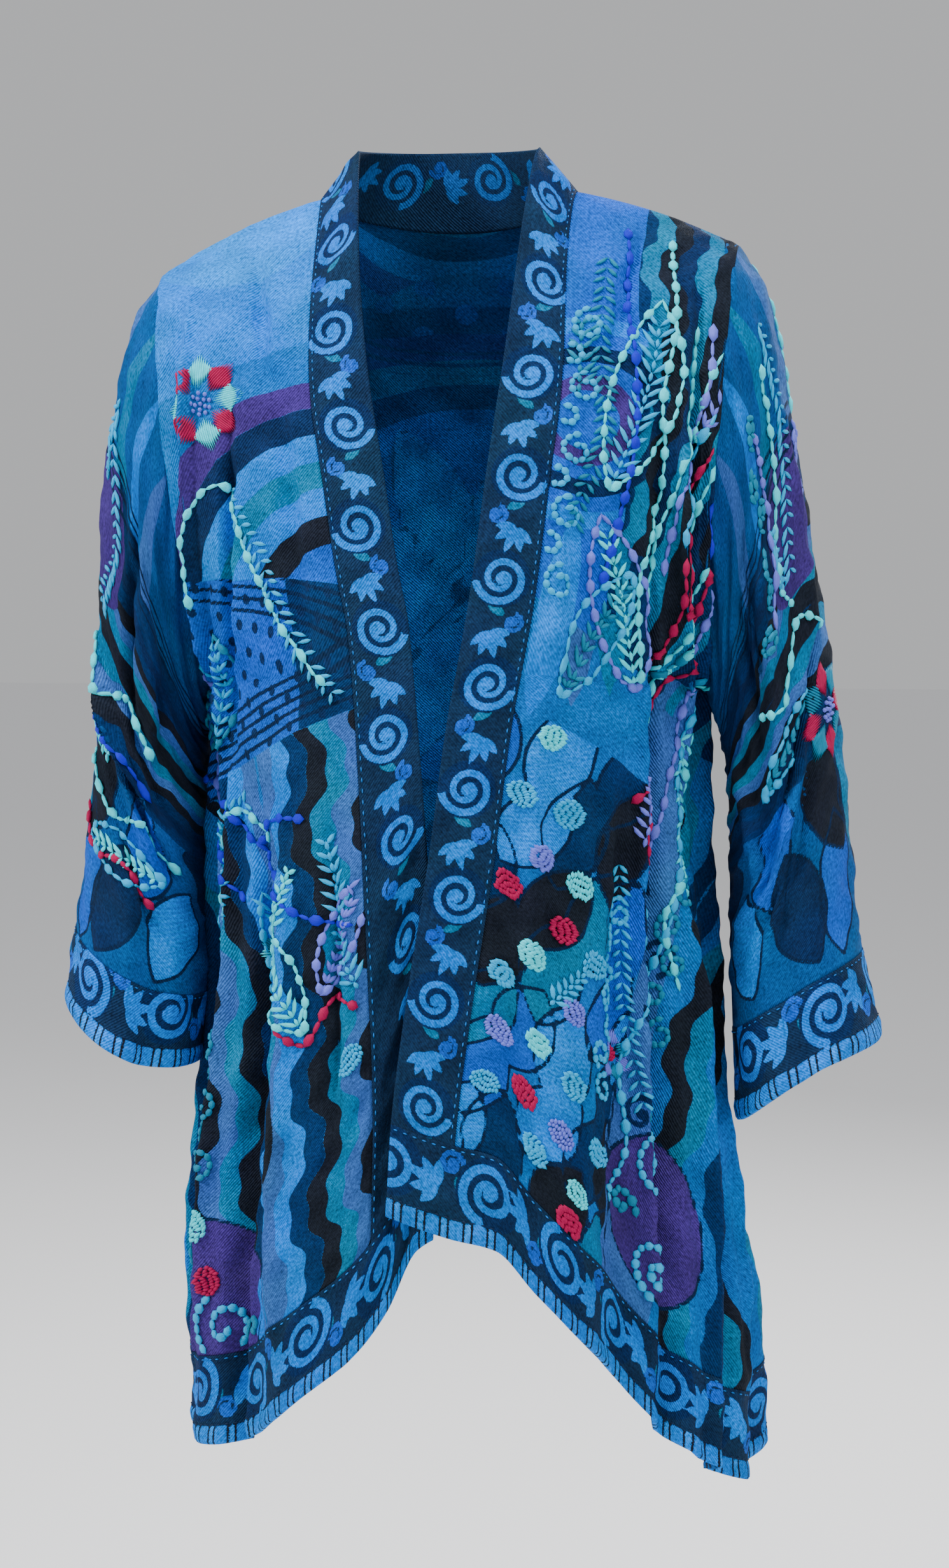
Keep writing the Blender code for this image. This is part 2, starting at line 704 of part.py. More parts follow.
def neck_band(name, colour):
    w = np.linspace(0.0, 1.0, BAND_COLUMNS + 1)[None, :]
    t = np.linspace(1.0, 1.5, NECK_STATIONS + 1)[:, None]
    points = {}
    normals = {}
    for half in (LEFT, RIGHT):
        points[half] = band_surface(half, t, w)
        normals[half] = normals_of(band_surface, half, t, w)
    centre = unit(normals[LEFT][-1] + normals[RIGHT][-1])
    grid = np.concatenate([points[LEFT], points[RIGHT][-2::-1]])
    grid_normals = np.concatenate([normals[LEFT][:-1], centre[None], normals[RIGHT][-2::-1]])
    grid = pull_back(grid, rows=((0, 1), (-1, -2)), columns=((-1, -2),))
    make_wall(name, grid, grid_normals, STRIP_RAISE, STRIP, colour)


def sleeve_tube(half, name, colour):
    v = np.linspace(0.0, CUFF_START, SLEEVE_ROWS + 1)[:, None]
    points, normals = sleeve(half, v, armhole_turns()[None, :])
    normals[0] = armhole_normals(half)[1]
    points = pull_back(points, rows=((0, 1), (-1, -2)))
    make_wall(name, points, normals, 0.0, CLOTH, colour, closed=True)


def cuff_band(half, name, colour):
    v = mix(1.0, CUFF_START, np.array(ROLL_ROWS))[:, None]
    points, normals = sleeve(half, v, armhole_turns()[None, :])
    points = pull_back(points, rows=((-1, -2),))
    raised, thickness = hem_walls()
    make_wall(name, points, normals, raised, thickness, colour, closed=True)


FIELD_BLUE = (0.020, 0.150, 0.360)
FIELD_TEAL = (0.015, 0.190, 0.330)
BORDER_NAVY = (0.010, 0.045, 0.120)


def build():
    for old in list(bpy.data.objects):
        bpy.data.objects.remove(old, do_unlink=True)
    back_panel("back_panel", FIELD_BLUE)
    back_border("hem_border_back", BORDER_NAVY)
    neck_band("neck_band", BORDER_NAVY)
    for half, side in ((LEFT, "left"), (RIGHT, "right")):
        front_panel(half, "front_" + side, FIELD_TEAL)
        front_border(half, "hem_border_" + side, BORDER_NAVY)
        front_band(half, "front_band_" + side, BORDER_NAVY)
        sleeve_tube(half, "sleeve_" + side, FIELD_BLUE)
        cuff_band(half, "cuff_band_" + side, BORDER_NAVY)


build()
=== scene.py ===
import functools
import math

import bpy
import numpy as np
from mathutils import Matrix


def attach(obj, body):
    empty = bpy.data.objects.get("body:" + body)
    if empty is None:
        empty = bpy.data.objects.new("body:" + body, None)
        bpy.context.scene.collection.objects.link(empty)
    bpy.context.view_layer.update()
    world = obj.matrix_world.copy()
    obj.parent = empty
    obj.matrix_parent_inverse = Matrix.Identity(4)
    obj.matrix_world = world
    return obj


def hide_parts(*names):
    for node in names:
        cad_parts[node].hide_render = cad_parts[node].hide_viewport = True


# Looks of the open-front embroidered jacket: woven shells, borders, stitching and embroidery.
#
# Metres, in the frame's own axes: +Z up, the wearer faces -Y, +X is the wearer's left.
# The shells follow the same surfaces as the frame's solids, on a finer grid and with smaller creases.
#
#   body(half, s, q)    s: front hem 0, shoulder 1, back hem 2; q: centre line 0, side seam or armhole 1
#   sleeve(half, v, a)  v: armhole 0, cuff's edge 1; a: angle from the underarm up the front

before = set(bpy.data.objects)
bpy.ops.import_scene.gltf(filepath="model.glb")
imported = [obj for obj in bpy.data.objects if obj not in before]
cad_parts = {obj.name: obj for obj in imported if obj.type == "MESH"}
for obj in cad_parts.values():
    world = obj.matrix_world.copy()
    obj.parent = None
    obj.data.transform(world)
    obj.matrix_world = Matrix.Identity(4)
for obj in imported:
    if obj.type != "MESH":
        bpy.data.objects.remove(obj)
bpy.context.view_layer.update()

LEFT = 1
RIGHT = -1

# Cloth. Shells are thinner than the frame's solids, whose outer faces they share.
CLOTH = 0.0014
STRIP = 0.0022
STRIP_RAISE = 0.0005
HEM_ROLL = 0.005
HEM_ROLL_RAISE = 0.0018

# The jacket's levels and sizes, as in the frame.
BORDER_TOP = 0.1
UNDERARM = 0.6
BACK_HEM = 2.0
BORDER_WIDTH = 0.066
CUFF_START = 0.86
SHOULDER_X = 0.213
SHOULDER_Z = {LEFT: -0.04, RIGHT: -0.055}
UNDERARM_X = {LEFT: 0.19, RIGHT: 0.175}
UNDERARM_Z = -0.36
UNDERARM_MID_Z = -0.345
ARMHOLE_DEPTH = 0.082
SIDE_TURN = 90.0
SHOULDER_TURN = 60.0
SLOPE_POWER = 2.2
NECK_SEAM_X = 0.095
NECK_TOP_X = 0.067
NECK_TOP_Y = 0.066
NECK_TOP_Z = 0.033
NECK_BACK_RISE = 0.006
NECK_DIP = 0.085
BAND_WIDTH = 0.044
BAND_LIFT_START = 0.8


def table(columns, *rows):
    """Rows under named columns, as one array for each column."""
    return dict(zip(columns.split(), np.array(rows, dtype=float).T))


SIDES = table(
    "s left right",
    (0.0, 0.222, 0.197), (0.1, 0.22, 0.198), (0.16, 0.215, 0.195), (0.24, 0.207, 0.186),
    (0.39, 0.197, 0.17), (0.5, 0.192, 0.168), (0.6, 0.19, 0.175),
)
PROFILE = table(
    "s y",
    (0.0, -0.176), (0.25, -0.169), (0.45, -0.16), (0.6, -0.154), (0.7, -0.142), (0.8, -0.12),
    (0.9, -0.083), (0.96, -0.042), (1.0, 0.0), (1.05, 0.046), (1.12, 0.084), (1.22, 0.112), (1.32, 0.128),
    (1.42, 0.132), (1.55, 0.128), (1.7, 0.14), (1.85, 0.154), (2.0, 0.165),
)
CREST = table(
    "s z",
    (0.6, -0.345), (0.7, -0.262), (0.8, -0.172), (0.9, -0.083), (0.96, -0.025), (1.0, 0.009),
    (1.05, -0.002), (1.12, -0.04), (1.22, -0.13), (1.32, -0.236), (1.4, -0.345),
)
HEMS = {
    LEFT: table(
        "across z",
        (-0.1, -0.719), (0.12, -0.736), (0.26, -0.745), (0.38, -0.776), (0.52, -0.812), (0.64, -0.839),
        (0.8, -0.895), (1.0, -0.95),
    ),
    RIGHT: table(
        "across z",
        (-0.12, -0.735), (0.0, -0.75), (0.1, -0.792), (0.2, -0.82), (0.35, -0.848), (0.55, -0.882),
        (0.75, -0.909), (1.0, -0.925),
    ),
}
HEM_BACK_MID = -0.8
HEM_BACK = table(
    "across share",
    (0.0, 0.0), (0.25, 0.1), (0.5, 0.36), (0.75, 0.7), (1.0, 1.0),
)
EDGES = {
    LEFT: table(
        "s x",
        (0.0, -0.018), (0.1, -0.0145), (0.25, -0.0035), (0.39, 0.009), (0.55, 0.0215), (0.67, 0.036),
        (0.77, 0.0455), (0.87, 0.056), (1.0, NECK_TOP_X),
    ),
    RIGHT: table(
        "s x",
        (0.0, -0.012), (0.1, -0.013), (0.2, -0.014), (0.39, -0.008), (0.55, -0.001), (0.64, 0.006),
        (0.69, 0.015), (0.76, 0.0265), (0.86, 0.0455), (1.0, NECK_TOP_X),
    ),
}
LAP = {
    LEFT: {"push": -0.005, "near": -0.02, "far": 0.06, "full": 0.35, "gone": 0.6},
    RIGHT: {"push": 0.016, "near": 0.0, "far": 0.05, "full": 0.3, "gone": 0.55},
}
# Rings of the sleeves: their outer and inner lines and their depth. Both sleeves share half of the columns.
SLEEVE_RINGS = table(
    "v outer_y inner_y depth",
    (0.0, 0.0, 0.0, ARMHOLE_DEPTH), (0.08, 0.0, -0.002, 0.081), (0.2, 0.0, -0.004, 0.077),
    (0.34, 0.0, -0.008, 0.073), (0.5, -0.005, -0.012, 0.07), (0.65, -0.012, -0.02, 0.068),
    (0.8, -0.022, -0.03, 0.068), (1.0, -0.035, -0.042, 0.071),
)
SLEEVES = {
    LEFT: SLEEVE_RINGS | table(
        "outer_x outer_z inner_x inner_z",
        (SHOULDER_X, SHOULDER_Z[LEFT], UNDERARM_X[LEFT], UNDERARM_Z), (0.235, -0.078, 0.197, -0.38),
        (0.25, -0.155, 0.204, -0.402), (0.266, -0.245, 0.208, -0.43), (0.283, -0.345, 0.21, -0.47),
        (0.295, -0.435, 0.211, -0.52), (0.303, -0.52, 0.213, -0.58), (0.321, -0.611, 0.219, -0.672),
    ),
    RIGHT: SLEEVE_RINGS | table(
        "outer_x outer_z inner_x inner_z",
        (SHOULDER_X, SHOULDER_Z[RIGHT], UNDERARM_X[RIGHT], UNDERARM_Z), (0.235, -0.092, 0.18, -0.38),
        (0.25, -0.155, 0.182, -0.402), (0.262, -0.245, 0.182, -0.43), (0.262, -0.34, 0.18, -0.468),
        (0.266, -0.425, 0.179, -0.515), (0.275, -0.512, 0.178, -0.568), (0.283, -0.588, 0.183, -0.64),
    ),
}
CUFF_DROOP = {LEFT: -0.012, RIGHT: 0.01}

# The frame's folds. A row has the places across where a fold starts and ends, its half width, the levels
# where it starts and ends, the length over which it fades, and its height outward in millimetres. Places
# across are in percent of the body's width or in degrees round a sleeve, and levels are in percent.
FOLDS = {
    ("front", LEFT): (
        (46, 52, 11, 0, 56, 20, -18), (30, 38, 11, 0, 45, 18, 7), (64, 66, 10, 0, 50, 20, 9),
        (84, 86, 12, 0, 34, 12, 13), (74, 72, 8, 36, 84, 14, -9), (88, 88, 8, 40, 72, 12, -7),
    ),
    ("front", RIGHT): (
        (28, 34, 12, 0, 60, 20, 8), (46, 46, 10, 0, 50, 20, -9), (64, 60, 12, 0, 44, 16, 6),
        (80, 76, 9, 30, 78, 14, -8), (84, 86, 10, 0, 26, 12, -6),
    ),
    ("back", LEFT): (
        (22, 18, 13, 0, 46, 30, 12), (44, 38, 11, 0, 52, 30, -14), (82, 82, 15, 0, 30, 16, 26),
        (74, 76, 9, 38, 80, 14, -7),
    ),
    ("back", RIGHT): (
        (14, 16, 12, 0, 50, 30, -11), (36, 32, 12, 0, 46, 28, 11), (60, 54, 12, 0, 50, 28, -13),
        (80, 80, 12, 0, 34, 18, 9),
    ),
    ("sleeve", LEFT): (
        (62, 96, 26, 40, 100, 20, -7), (120, 128, 24, 6, 52, 18, -6), (150, 60, 22, 44, 66, 10, -5),
        (250, 262, 28, 10, 80, 20, -7), (305, 290, 26, 50, 100, 20, 5),
    ),
    ("sleeve", RIGHT): (
        (70, 58, 24, 66, 100, 14, -9), (150, 50, 22, 38, 56, 10, -8), (140, 60, 20, 54, 70, 8, -6),
        (110, 118, 26, 6, 40, 16, -6), (255, 240, 28, 12, 84, 20, -7),
    ),
}
# Smaller creases of the cloth, which only the shells have, to be deepened by CREASE_DEPTH.
CREASE_DEPTH = 1.35
CREASES = {
    ("front", LEFT): (
        (60, 66, 5.5, 12, 68, 15, -15), (80, 82, 5, 10, 62, 12, -12), (71, 74, 5, 10, 64, 14, 7),
        (58, 62, 4.5, 0, 60, 15, -11), (70, 74, 4.2, 0, 50, 15, 11), (78, 82, 4.2, 5, 62, 15, -10.2),
        (90, 93, 4.2, 5, 55, 12, 8.5), (40, 50, 4.6, 12, 58, 15, 8.5), (62, 70, 4.2, 46, 86, 12, -7.6),
        (86, 84, 4.1, 62, 95, 10, -7.6), (30, 40, 5, 55, 85, 10, 5.1), (56, 60, 3.5, 6, 66, 16, 7.8),
        (80, 79, 3, 42, 88, 12, 7.8), (66, 64, 2.8, 40, 80, 14, -5.9), (94, 93, 3.5, 44, 86, 12, 5.9),
        (38, 46, 3, 10, 40, 12, -4.8), (24, 30, 4, 20, 60, 16, 3.9), (72, 76, 3.5, 0, 28, 10, -5.9),
        (50, 62, 4, 84, 98, 6, -3.9),
    ),
    ("front", RIGHT): (
        (34, 36, 4.5, 2, 50, 15, 8.5), (52, 50, 4.5, 0, 56, 15, -10.2), (62, 66, 4.2, 6, 60, 15, 9.3),
        (74, 78, 4.2, 2, 52, 12, -9.3), (88, 86, 4.2, 5, 60, 12, 8.5), (66, 60, 4.2, 50, 88, 12, -7.6),
        (84, 80, 4.1, 60, 94, 10, 6.8), (30, 44, 5, 60, 86, 10, -5.1), (20, 24, 3.5, 16, 52, 14, -5.9),
        (38, 40, 3.5, 10, 58, 18, 5.9), (56, 50, 3, 14, 46, 12, -4.8), (70, 72, 3, 34, 74, 12, 6.9),
        (90, 88, 3.5, 30, 66, 12, 5.9), (46, 56, 4, 82, 97, 6, -3.9), (74, 72, 3.5, 2, 22, 8, 5.9),
    ),
    ("back", LEFT): (
        (12, 10, 4.6, 0, 44, 16, 8.5), (34, 30, 4.5, 0, 56, 16, -10.2), (52, 50, 4.5, 4, 50, 15, 9.3),
        (68, 66, 4.2, 0, 56, 15, -9.3), (80, 76, 4.1, 50, 90, 12, -7.6), (60, 66, 4.5, 56, 86, 12, 5.9),
        (30, 26, 3.5, 12, 50, 16, -5.9), (56, 52, 3.5, 8, 44, 14, 5.9), (84, 82, 3.2, 46, 86, 12, 6.9),
        (64, 66, 3.2, 42, 74, 12, -4.8), (10, 14, 4, 60, 84, 10, -3.5),
    ),
    ("back", RIGHT): (
        (8, 10, 4.6, 4, 50, 16, -8.5), (28, 26, 4.5, 0, 52, 16, 10.2), (48, 44, 4.5, 2, 56, 15, -9.3),
        (70, 68, 4.2, 0, 48, 15, 9.3), (86, 84, 4.1, 4, 56, 12, -8.5), (72, 78, 4.1, 50, 90, 12, 7.6),
        (24, 24, 3.2, 10, 48, 16, 5.5), (70, 66, 3.2, 12, 40, 12, -5.9), (78, 80, 3.2, 44, 84, 12, -6.9),
        (90, 90, 3, 48, 76, 10, 5.9), (46, 48, 4, 58, 80, 10, 3.5),
    ),
    ("sleeve", LEFT): (
        (160, 84, 11, 42, 60, 7, -10.5), (120, 50, 11, 52, 76, 8, 8.3), (96, 92, 11, 12, 56, 14, 7.5),
        (70, 74, 11, 10, 50, 14, -7.5), (210, 270, 12, 40, 66, 8, -9), (300, 280, 12, 16, 60, 14, 7.5),
        (40, 70, 10, 30, 78, 14, 4.9), (135, 90, 9, 50, 74, 8, -4.2), (100, 60, 9, 58, 82, 8, 4.2),
        (230, 250, 10, 36, 72, 12, 4.2), (150, 150, 10, 10, 50, 14, 3.5), (85, 88, 9, 8, 44, 12, -4.2),
    ),
    ("sleeve", RIGHT): (
        (150, 70, 11, 44, 60, 6, 9), (135, 40, 11, 50, 66, 6, -10.5), (100, 94, 11, 10, 50, 14, -7.5),
        (74, 70, 11, 14, 48, 14, 7.5), (220, 280, 12, 42, 68, 8, -9), (300, 270, 12, 16, 60, 14, 7.5),
        (130, 80, 9, 46, 62, 6, 4.9), (120, 50, 9, 62, 78, 6, -4.2), (85, 80, 9, 10, 46, 12, 4.2),
        (60, 66, 10, 20, 60, 12, -4.2), (285, 250, 10, 44, 66, 8, -4.2),
    ),
}
# Soft unevenness of the cloth: lengths of a wave along and across, its height and its phase.
PUCKERS = (
    (0.083, 0.061, 0.0009, 0.4),
    (0.047, -0.071, 0.00075, 1.9),
    (0.031, 0.043, 0.00045, 3.1),
    (0.019, -0.023, 0.00024, 5.0),
)
PUCKER_EDGE = 0.01

# Step of the differences that give a surface's normals.
STEP = 0.002
MM = 0.001


def mix(low, high, share):
    return low + (high - low) * share


def ease(share):
    share = np.clip(share, 0.0, 1.0)
    return share * share * (3.0 - 2.0 * share)


def unit(vectors):
    return vectors / np.maximum(np.linalg.norm(vectors, axis=-1, keepdims=True), 1e-12)


def read(columns, key, value, at):
    """Read a column at any place along its key, smoothly and without overshoot."""
    keys = columns[key]
    values = columns[value]
    steps = np.diff(keys)
    slopes = np.diff(values) / steps
    tangents = np.empty(len(keys))
    tangents[0] = slopes[0]
    tangents[-1] = slopes[-1]
    for i in range(1, len(keys) - 1):
        before = slopes[i - 1]
        after = slopes[i]
        tangents[i] = 2.0 * before * after / (before + after) if before * after > 0.0 else 0.0
    at = np.asarray(at, dtype=float)
    i = np.clip(np.searchsorted(keys, at, side="right") - 1, 0, len(keys) - 2)
    t = (at - keys[i]) / steps[i]
    return (
        (1.0 + 2.0 * t) * (1.0 - t) ** 2 * values[i]
        + t * (1.0 - t) ** 2 * steps[i] * tangents[i]
        + t * t * (3.0 - 2.0 * t) * values[i + 1]
        + t * t * (t - 1.0) * steps[i] * tangents[i + 1]
    )


def bump(distance, half_width):
    """A soft ridge of height 1 that is gone at half_width."""
    return np.where(
        np.abs(distance) < half_width,
        0.5 + 0.5 * np.cos(math.pi * distance / half_width),
        0.0,
    )


def folds_at(rows, place, level):
    """Height of folds in metres. A fold that starts at 0 or ends at 100 percent doesn't fade there."""
    height = 0.0
    for start, end, half_width, low, high, fade, rise in rows:
        line = mix(start, end, (level - low) / (high - low))
        reach = bump(place - line, half_width) * rise * MM
        if low > 0:
            reach = reach * ease((level - low) / fade)
        if high < 100:
            reach = reach * ease((high - level) / fade)
        height = height + reach
    return height


def all_folds(key, place, level):
    return folds_at(FOLDS[key], place, level) + CREASE_DEPTH * folds_at(CREASES[key], place, level)


def rise_of(s):
    """How far a level lies up the armhole, from 0 at the underarm to 1 at the shoulder."""
    level = np.minimum(s, 2.0 - s)
    return np.clip((level - UNDERARM) / (1.0 - UNDERARM), 0.0, 1.0)


def turn_at(s):
    return np.radians(mix(SIDE_TURN, SHOULDER_TURN, ease(rise_of(s))))


def row_width(half, s):
    level = np.minimum(s, 2.0 - s)
    side = read(SIDES, "s", "left" if half == LEFT else "right", np.clip(level, -0.1, UNDERARM))
    arm = 0.5 - 0.5 * np.cos(math.pi * rise_of(s))
    return np.where(level < UNDERARM, side, mix(UNDERARM_X[half], SHOULDER_X, arm))


def place_of(half, s, x):
    """The q at which a row is x from the centre line."""
    turn = turn_at(s)
    return np.arcsin(np.clip(x / row_width(half, s) * np.sin(turn), -1.0, 1.0)) / turn


def lap_push(half, level, x):
    lap = LAP[half]
    near = 1.0 - ease((x - lap["near"]) / (lap["far"] - lap["near"]))
    low = 1.0 - ease((level - lap["full"]) / (lap["gone"] - lap["full"]))
    return lap["push"] * near * low


def body_plain(half, s, q):
    s, q = np.broadcast_arrays(np.asarray(s, dtype=float), np.asarray(q, dtype=float))
    level = np.minimum(s, 2.0 - s)
    face = np.where(s <= 1.0, -1.0, 1.0)
    rise = rise_of(s) * math.pi
    arm = 0.5 - 0.5 * np.cos(rise)
    turn = turn_at(s)
    angle = q * turn
    across = np.sin(angle) / np.sin(turn)
    x = row_width(half, s) * across

    side_y = face * ARMHOLE_DEPTH * np.sin(rise)
    mid_y = read(PROFILE, "s", "y", s)
    y = mid_y + (side_y - mid_y) * (1.0 - np.cos(angle)) / (1.0 - np.cos(turn))
    y = y + np.where(face < 0.0, lap_push(half, level, x), 0.0)

    side_hem = HEMS[half]["z"][-1]
    back_share = read(HEM_BACK, "across", "share", np.abs(across))
    hem = np.where(
        face < 0.0,
        read(HEMS[half], "across", "z", across),
        mix(HEM_BACK_MID, side_hem, back_share),
    )
    spread = np.abs(across) ** SLOPE_POWER
    border_z = hem + BORDER_WIDTH * level / BORDER_TOP
    under_z = mix(UNDERARM_MID_Z, UNDERARM_Z, spread)
    skirt_z = mix(hem + BORDER_WIDTH, under_z, (level - BORDER_TOP) / (UNDERARM - BORDER_TOP))
    crest_z = read(CREST, "s", "z", np.clip(s, UNDERARM, 2.0 - UNDERARM))
    chest_z = mix(crest_z, mix(UNDERARM_Z, SHOULDER_Z[half], arm), spread)
    z = np.where(level <= BORDER_TOP, border_z, np.where(level <= UNDERARM, skirt_z, chest_z))
    return np.stack([half * x, y, z], axis=-1)


def body_fold(half, s, q):
    percent = 100.0 * np.minimum(s, 2.0 - s)
    front, back = (all_folds((face, half), 100.0 * q, percent) for face in ("front", "back"))
    return np.where(s <= 1.0, front, back)


def normals_of(surface, half, first, second, way=1):
    """Outward unit normals of surface(half, first, second), by differences."""
    along_first = surface(half, first + STEP, second) - surface(half, first - STEP, second)
    along_second = surface(half, first, second + STEP) - surface(half, first, second - STEP)
    return way * half * unit(np.cross(along_second, along_first))


def body_folded(half, s, q):
    normal = normals_of(body_plain, half, s, q)
    return body_plain(half, s, q) + normal * body_fold(half, s, q)[..., None]


def edge_place(half, s):
    return place_of(half, s, read(EDGES[half], "s", "x", s))


def seam_place(half, s):
    top = ease((s - BAND_LIFT_START) / (1.0 - BAND_LIFT_START))
    width = mix(BAND_WIDTH, NECK_SEAM_X - NECK_TOP_X, top)
    return place_of(half, s, read(EDGES[half], "s", "x", s) + width)


def neck_line(half, t):
    angle = (t - 1.0) * math.pi
    s = 1.0 + NECK_DIP * np.sin(angle)
    return s, place_of(half, s, NECK_SEAM_X * np.cos(angle))


def band_surface(half, t, w):
    """The band from the hem border (t = 0.1) to the shoulder (1) and the centre back (1.5)."""
    t, w = np.broadcast_arrays(np.asarray(t, dtype=float), np.asarray(w, dtype=float))
    low = np.minimum(t, 1.0)
    low_q = mix(edge_place(half, low), seam_place(half, low), w)
    front = body_folded(half, low, low_q)
    shoulder_edge = body_plain(half, np.array(1.0), edge_place(half, np.array(1.0)))
    lift = (NECK_TOP_Z - shoulder_edge[2]) * ease((low - BAND_LIFT_START) / (1.0 - BAND_LIFT_START))
    front[..., 2] += lift * (1.0 - w)

    angle = np.clip(t - 1.0, 0.0, 0.52) * math.pi
    s, q = neck_line(half, np.maximum(t, 1.0))
    seam = body_folded(half, s, q)
    top = np.stack(
        [
            half * NECK_TOP_X * np.cos(angle),
            NECK_TOP_Y * np.sin(angle),
            NECK_TOP_Z + NECK_BACK_RISE * np.sin(angle),
        ],
        axis=-1,
    )
    return np.where((t <= 1.0)[..., None], front, mix(top, seam, w[..., None]))


def sleeve_plain(half, v, a):
    v, a = np.broadcast_arrays(np.asarray(v, dtype=float), np.asarray(a, dtype=float))
    rings = SLEEVES[half]
    outer = [read(rings, "v", "outer_" + axis, v) for axis in "xyz"]
    inner = [read(rings, "v", "inner_" + axis, v) for axis in "xyz"]
    share = 0.5 - 0.5 * np.cos(a)
    x, y, z = (mix(low, high, share) for low, high in zip(inner, outer))
    y = y - read(rings, "v", "depth", v) * np.sin(a)
    z = z - CUFF_DROOP[half] * np.clip(v, 0.0, 1.1) ** 4 * np.sin(a) ** 2
    return np.stack([half * x, y, z], axis=-1)


def sleeve_folded(half, v, a):
    normal = normals_of(sleeve_plain, half, v, a, way=-1)
    fold = all_folds(("sleeve", half), np.degrees(a), 100.0 * v)
    return sleeve_plain(half, v, a) + normal * fold[..., None]


def pucker(cloth):
    """Heights of a cloth's unevenness. They fade out at its edges, so that neighbours meet at their seams."""
    u, v = cloth.flat()
    inside = np.minimum.reduce([u - u[:, :1], u[:, -1:] - u, v, cloth.length - v])
    height = np.zeros(u.shape)
    for along, across, size, phase in PUCKERS:
        height = height + size * np.sin(2.0 * math.pi * (v / along + u / across) + phase)
    return (height * ease(inside / PUCKER_EDGE))[..., None]


class Cloth:
    """One piece of cloth as a grid: 3-D points, normals, and flat positions u (across) and v (along)."""

    def __init__(self, points, normals, u_zero=0):
        self.points = points
        self.normals = normals
        steps = np.linalg.norm(np.diff(points, axis=1), axis=-1)
        u = np.concatenate([np.zeros((len(points), 1)), np.cumsum(steps, axis=1)], axis=1)
        self.u = u - u[:, u_zero : u_zero + 1]
        rises = np.linalg.norm(np.diff(points, axis=0), axis=-1)
        middle = rises[:, points.shape[1] // 4 : 3 * points.shape[1] // 4 + 1].mean(axis=1)
        self.v = np.concatenate([[0.0], np.cumsum(middle)])
        self.length = float(self.v[-1])

    def flat(self):
        return self.u, np.broadcast_to(self.v[:, None], self.u.shape)


# Flat shapes of the woven pattern. Each gives a distance in metres that is above 0 inside the shape.


def both(*shapes):
    return np.minimum.reduce(shapes)


def any_of(*shapes):
    return np.maximum.reduce(shapes)


def turned(u, v, u0, v0, degrees):
    """Position from (u0, v0), along and across a direction."""
    angle = math.radians(degrees)
    du = u - u0
    dv = v - v0
    return du * math.cos(angle) + dv * math.sin(angle), dv * math.cos(angle) - du * math.sin(angle)


def disc(u, v, u0, v0, radius):
    return radius - np.hypot(u - u0, v - v0)


def ring(u, v, u0, v0, radius, width):
    return width / 2 - np.abs(np.hypot(u - u0, v - v0) - radius)


def leaf(u, v, u0, v0, length, width, degrees):
    """A pointed leaf between two arcs, with its foot at (u0, v0)."""
    along, across = turned(u, v, u0, v0, degrees)
    half_length = length / 2
    half_width = width / 2
    radius = (half_length**2 + half_width**2) / (2 * half_width)
    return radius - np.hypot(along - half_length, np.abs(across) + radius - half_width)


def spiral(u, v, u0, v0, radius, width, start, turns=2.1, way=1):
    """A scroll that winds in from the angle start, in degrees, and thins toward its heart."""
    r = np.hypot(u - u0, v - v0)
    angle = way * (np.arctan2(v - v0, u - u0) - math.radians(start))
    pitch = radius / (turns + 0.35)
    lap = np.round((radius - r) / pitch - angle / (2 * math.pi))
    wound = angle / (2 * math.pi) + lap
    on_line = radius - pitch * wound
    inside = width / 2 * (0.55 + 0.45 * np.clip(r / radius, 0.0, 1.0)) - np.abs(r - on_line)
    heart = width * 0.75 - r
    return np.maximum(np.where((wound >= 0.0) & (wound <= turns), inside, -0.01), heart)


def zigzag(x, length):
    """A rounded stepped wave between -1 and 1."""
    share = (x / length) % 1.0
    return np.sin(2 * math.pi * share) * 0.75 + np.sin(6 * math.pi * share) * 0.25


def tucks(u, v, u0, v0, degrees, count, step=0.0085):
    """Fine parallel lines."""
    across = turned(u, v, u0, v0, degrees)[1]
    return any_of(*[0.0015 - np.abs(across - i * step) for i in range(count)])


def palmette(u, v, u0, v0, size, degrees):
    """A fan of five small leaves."""
    fan = [(34.0 * i, size * (1.0 - 0.12 * abs(i))) for i in range(-2, 3)]
    return any_of(*[leaf(u, v, u0, v0, length, size * 0.3, degrees + turn) for turn, length in fan])


def dots(u, v, pitch, radius, degrees):
    """Staggered dots all over."""
    along, across = turned(u, v, 0.0, 0.0, degrees)
    row = np.round(across / pitch)
    along = along + pitch * 0.5 * (row % 2)
    return radius - np.hypot(
        along - np.round(along / (pitch * 1.15)) * pitch * 1.15,
        across - row * pitch,
    )


def hatch(u, v, pitch=0.01):
    """Fine slanting bars all over."""
    return pitch * (0.24 - np.abs(((u + 2 * v) / pitch) % 1.0 - 0.5))


def outline(*shapes):
    """The rims of shapes."""
    return any_of(*[0.0014 - np.abs(shape) for shape in shapes])


# Woven colours, in the order in which they lie over the ground.
WOVEN = {
    "deep": (0.002, 0.024, 0.095),
    "slate": (0.03, 0.105, 0.36),
    "royal": (0.004, 0.082, 0.48),
    "teal": (0.0, 0.14, 0.3),
    "navy": (0.004, 0.018, 0.07),
    "charcoal": (0.008, 0.011, 0.02),
    "purple": (0.045, 0.022, 0.17),
    "azure": (0.0, 0.16, 0.64),
    "bright": (0.0, 0.2, 0.72),
    "line": (0.003, 0.014, 0.05),
}
GROUND = {
    "front_field": (0.0, 0.115, 0.42),
    "back_field": (0.0, 0.105, 0.39),
    "sleeve_field": (0.0, 0.068, 0.25),
    "border_strip": (0.005, 0.021, 0.06),
}


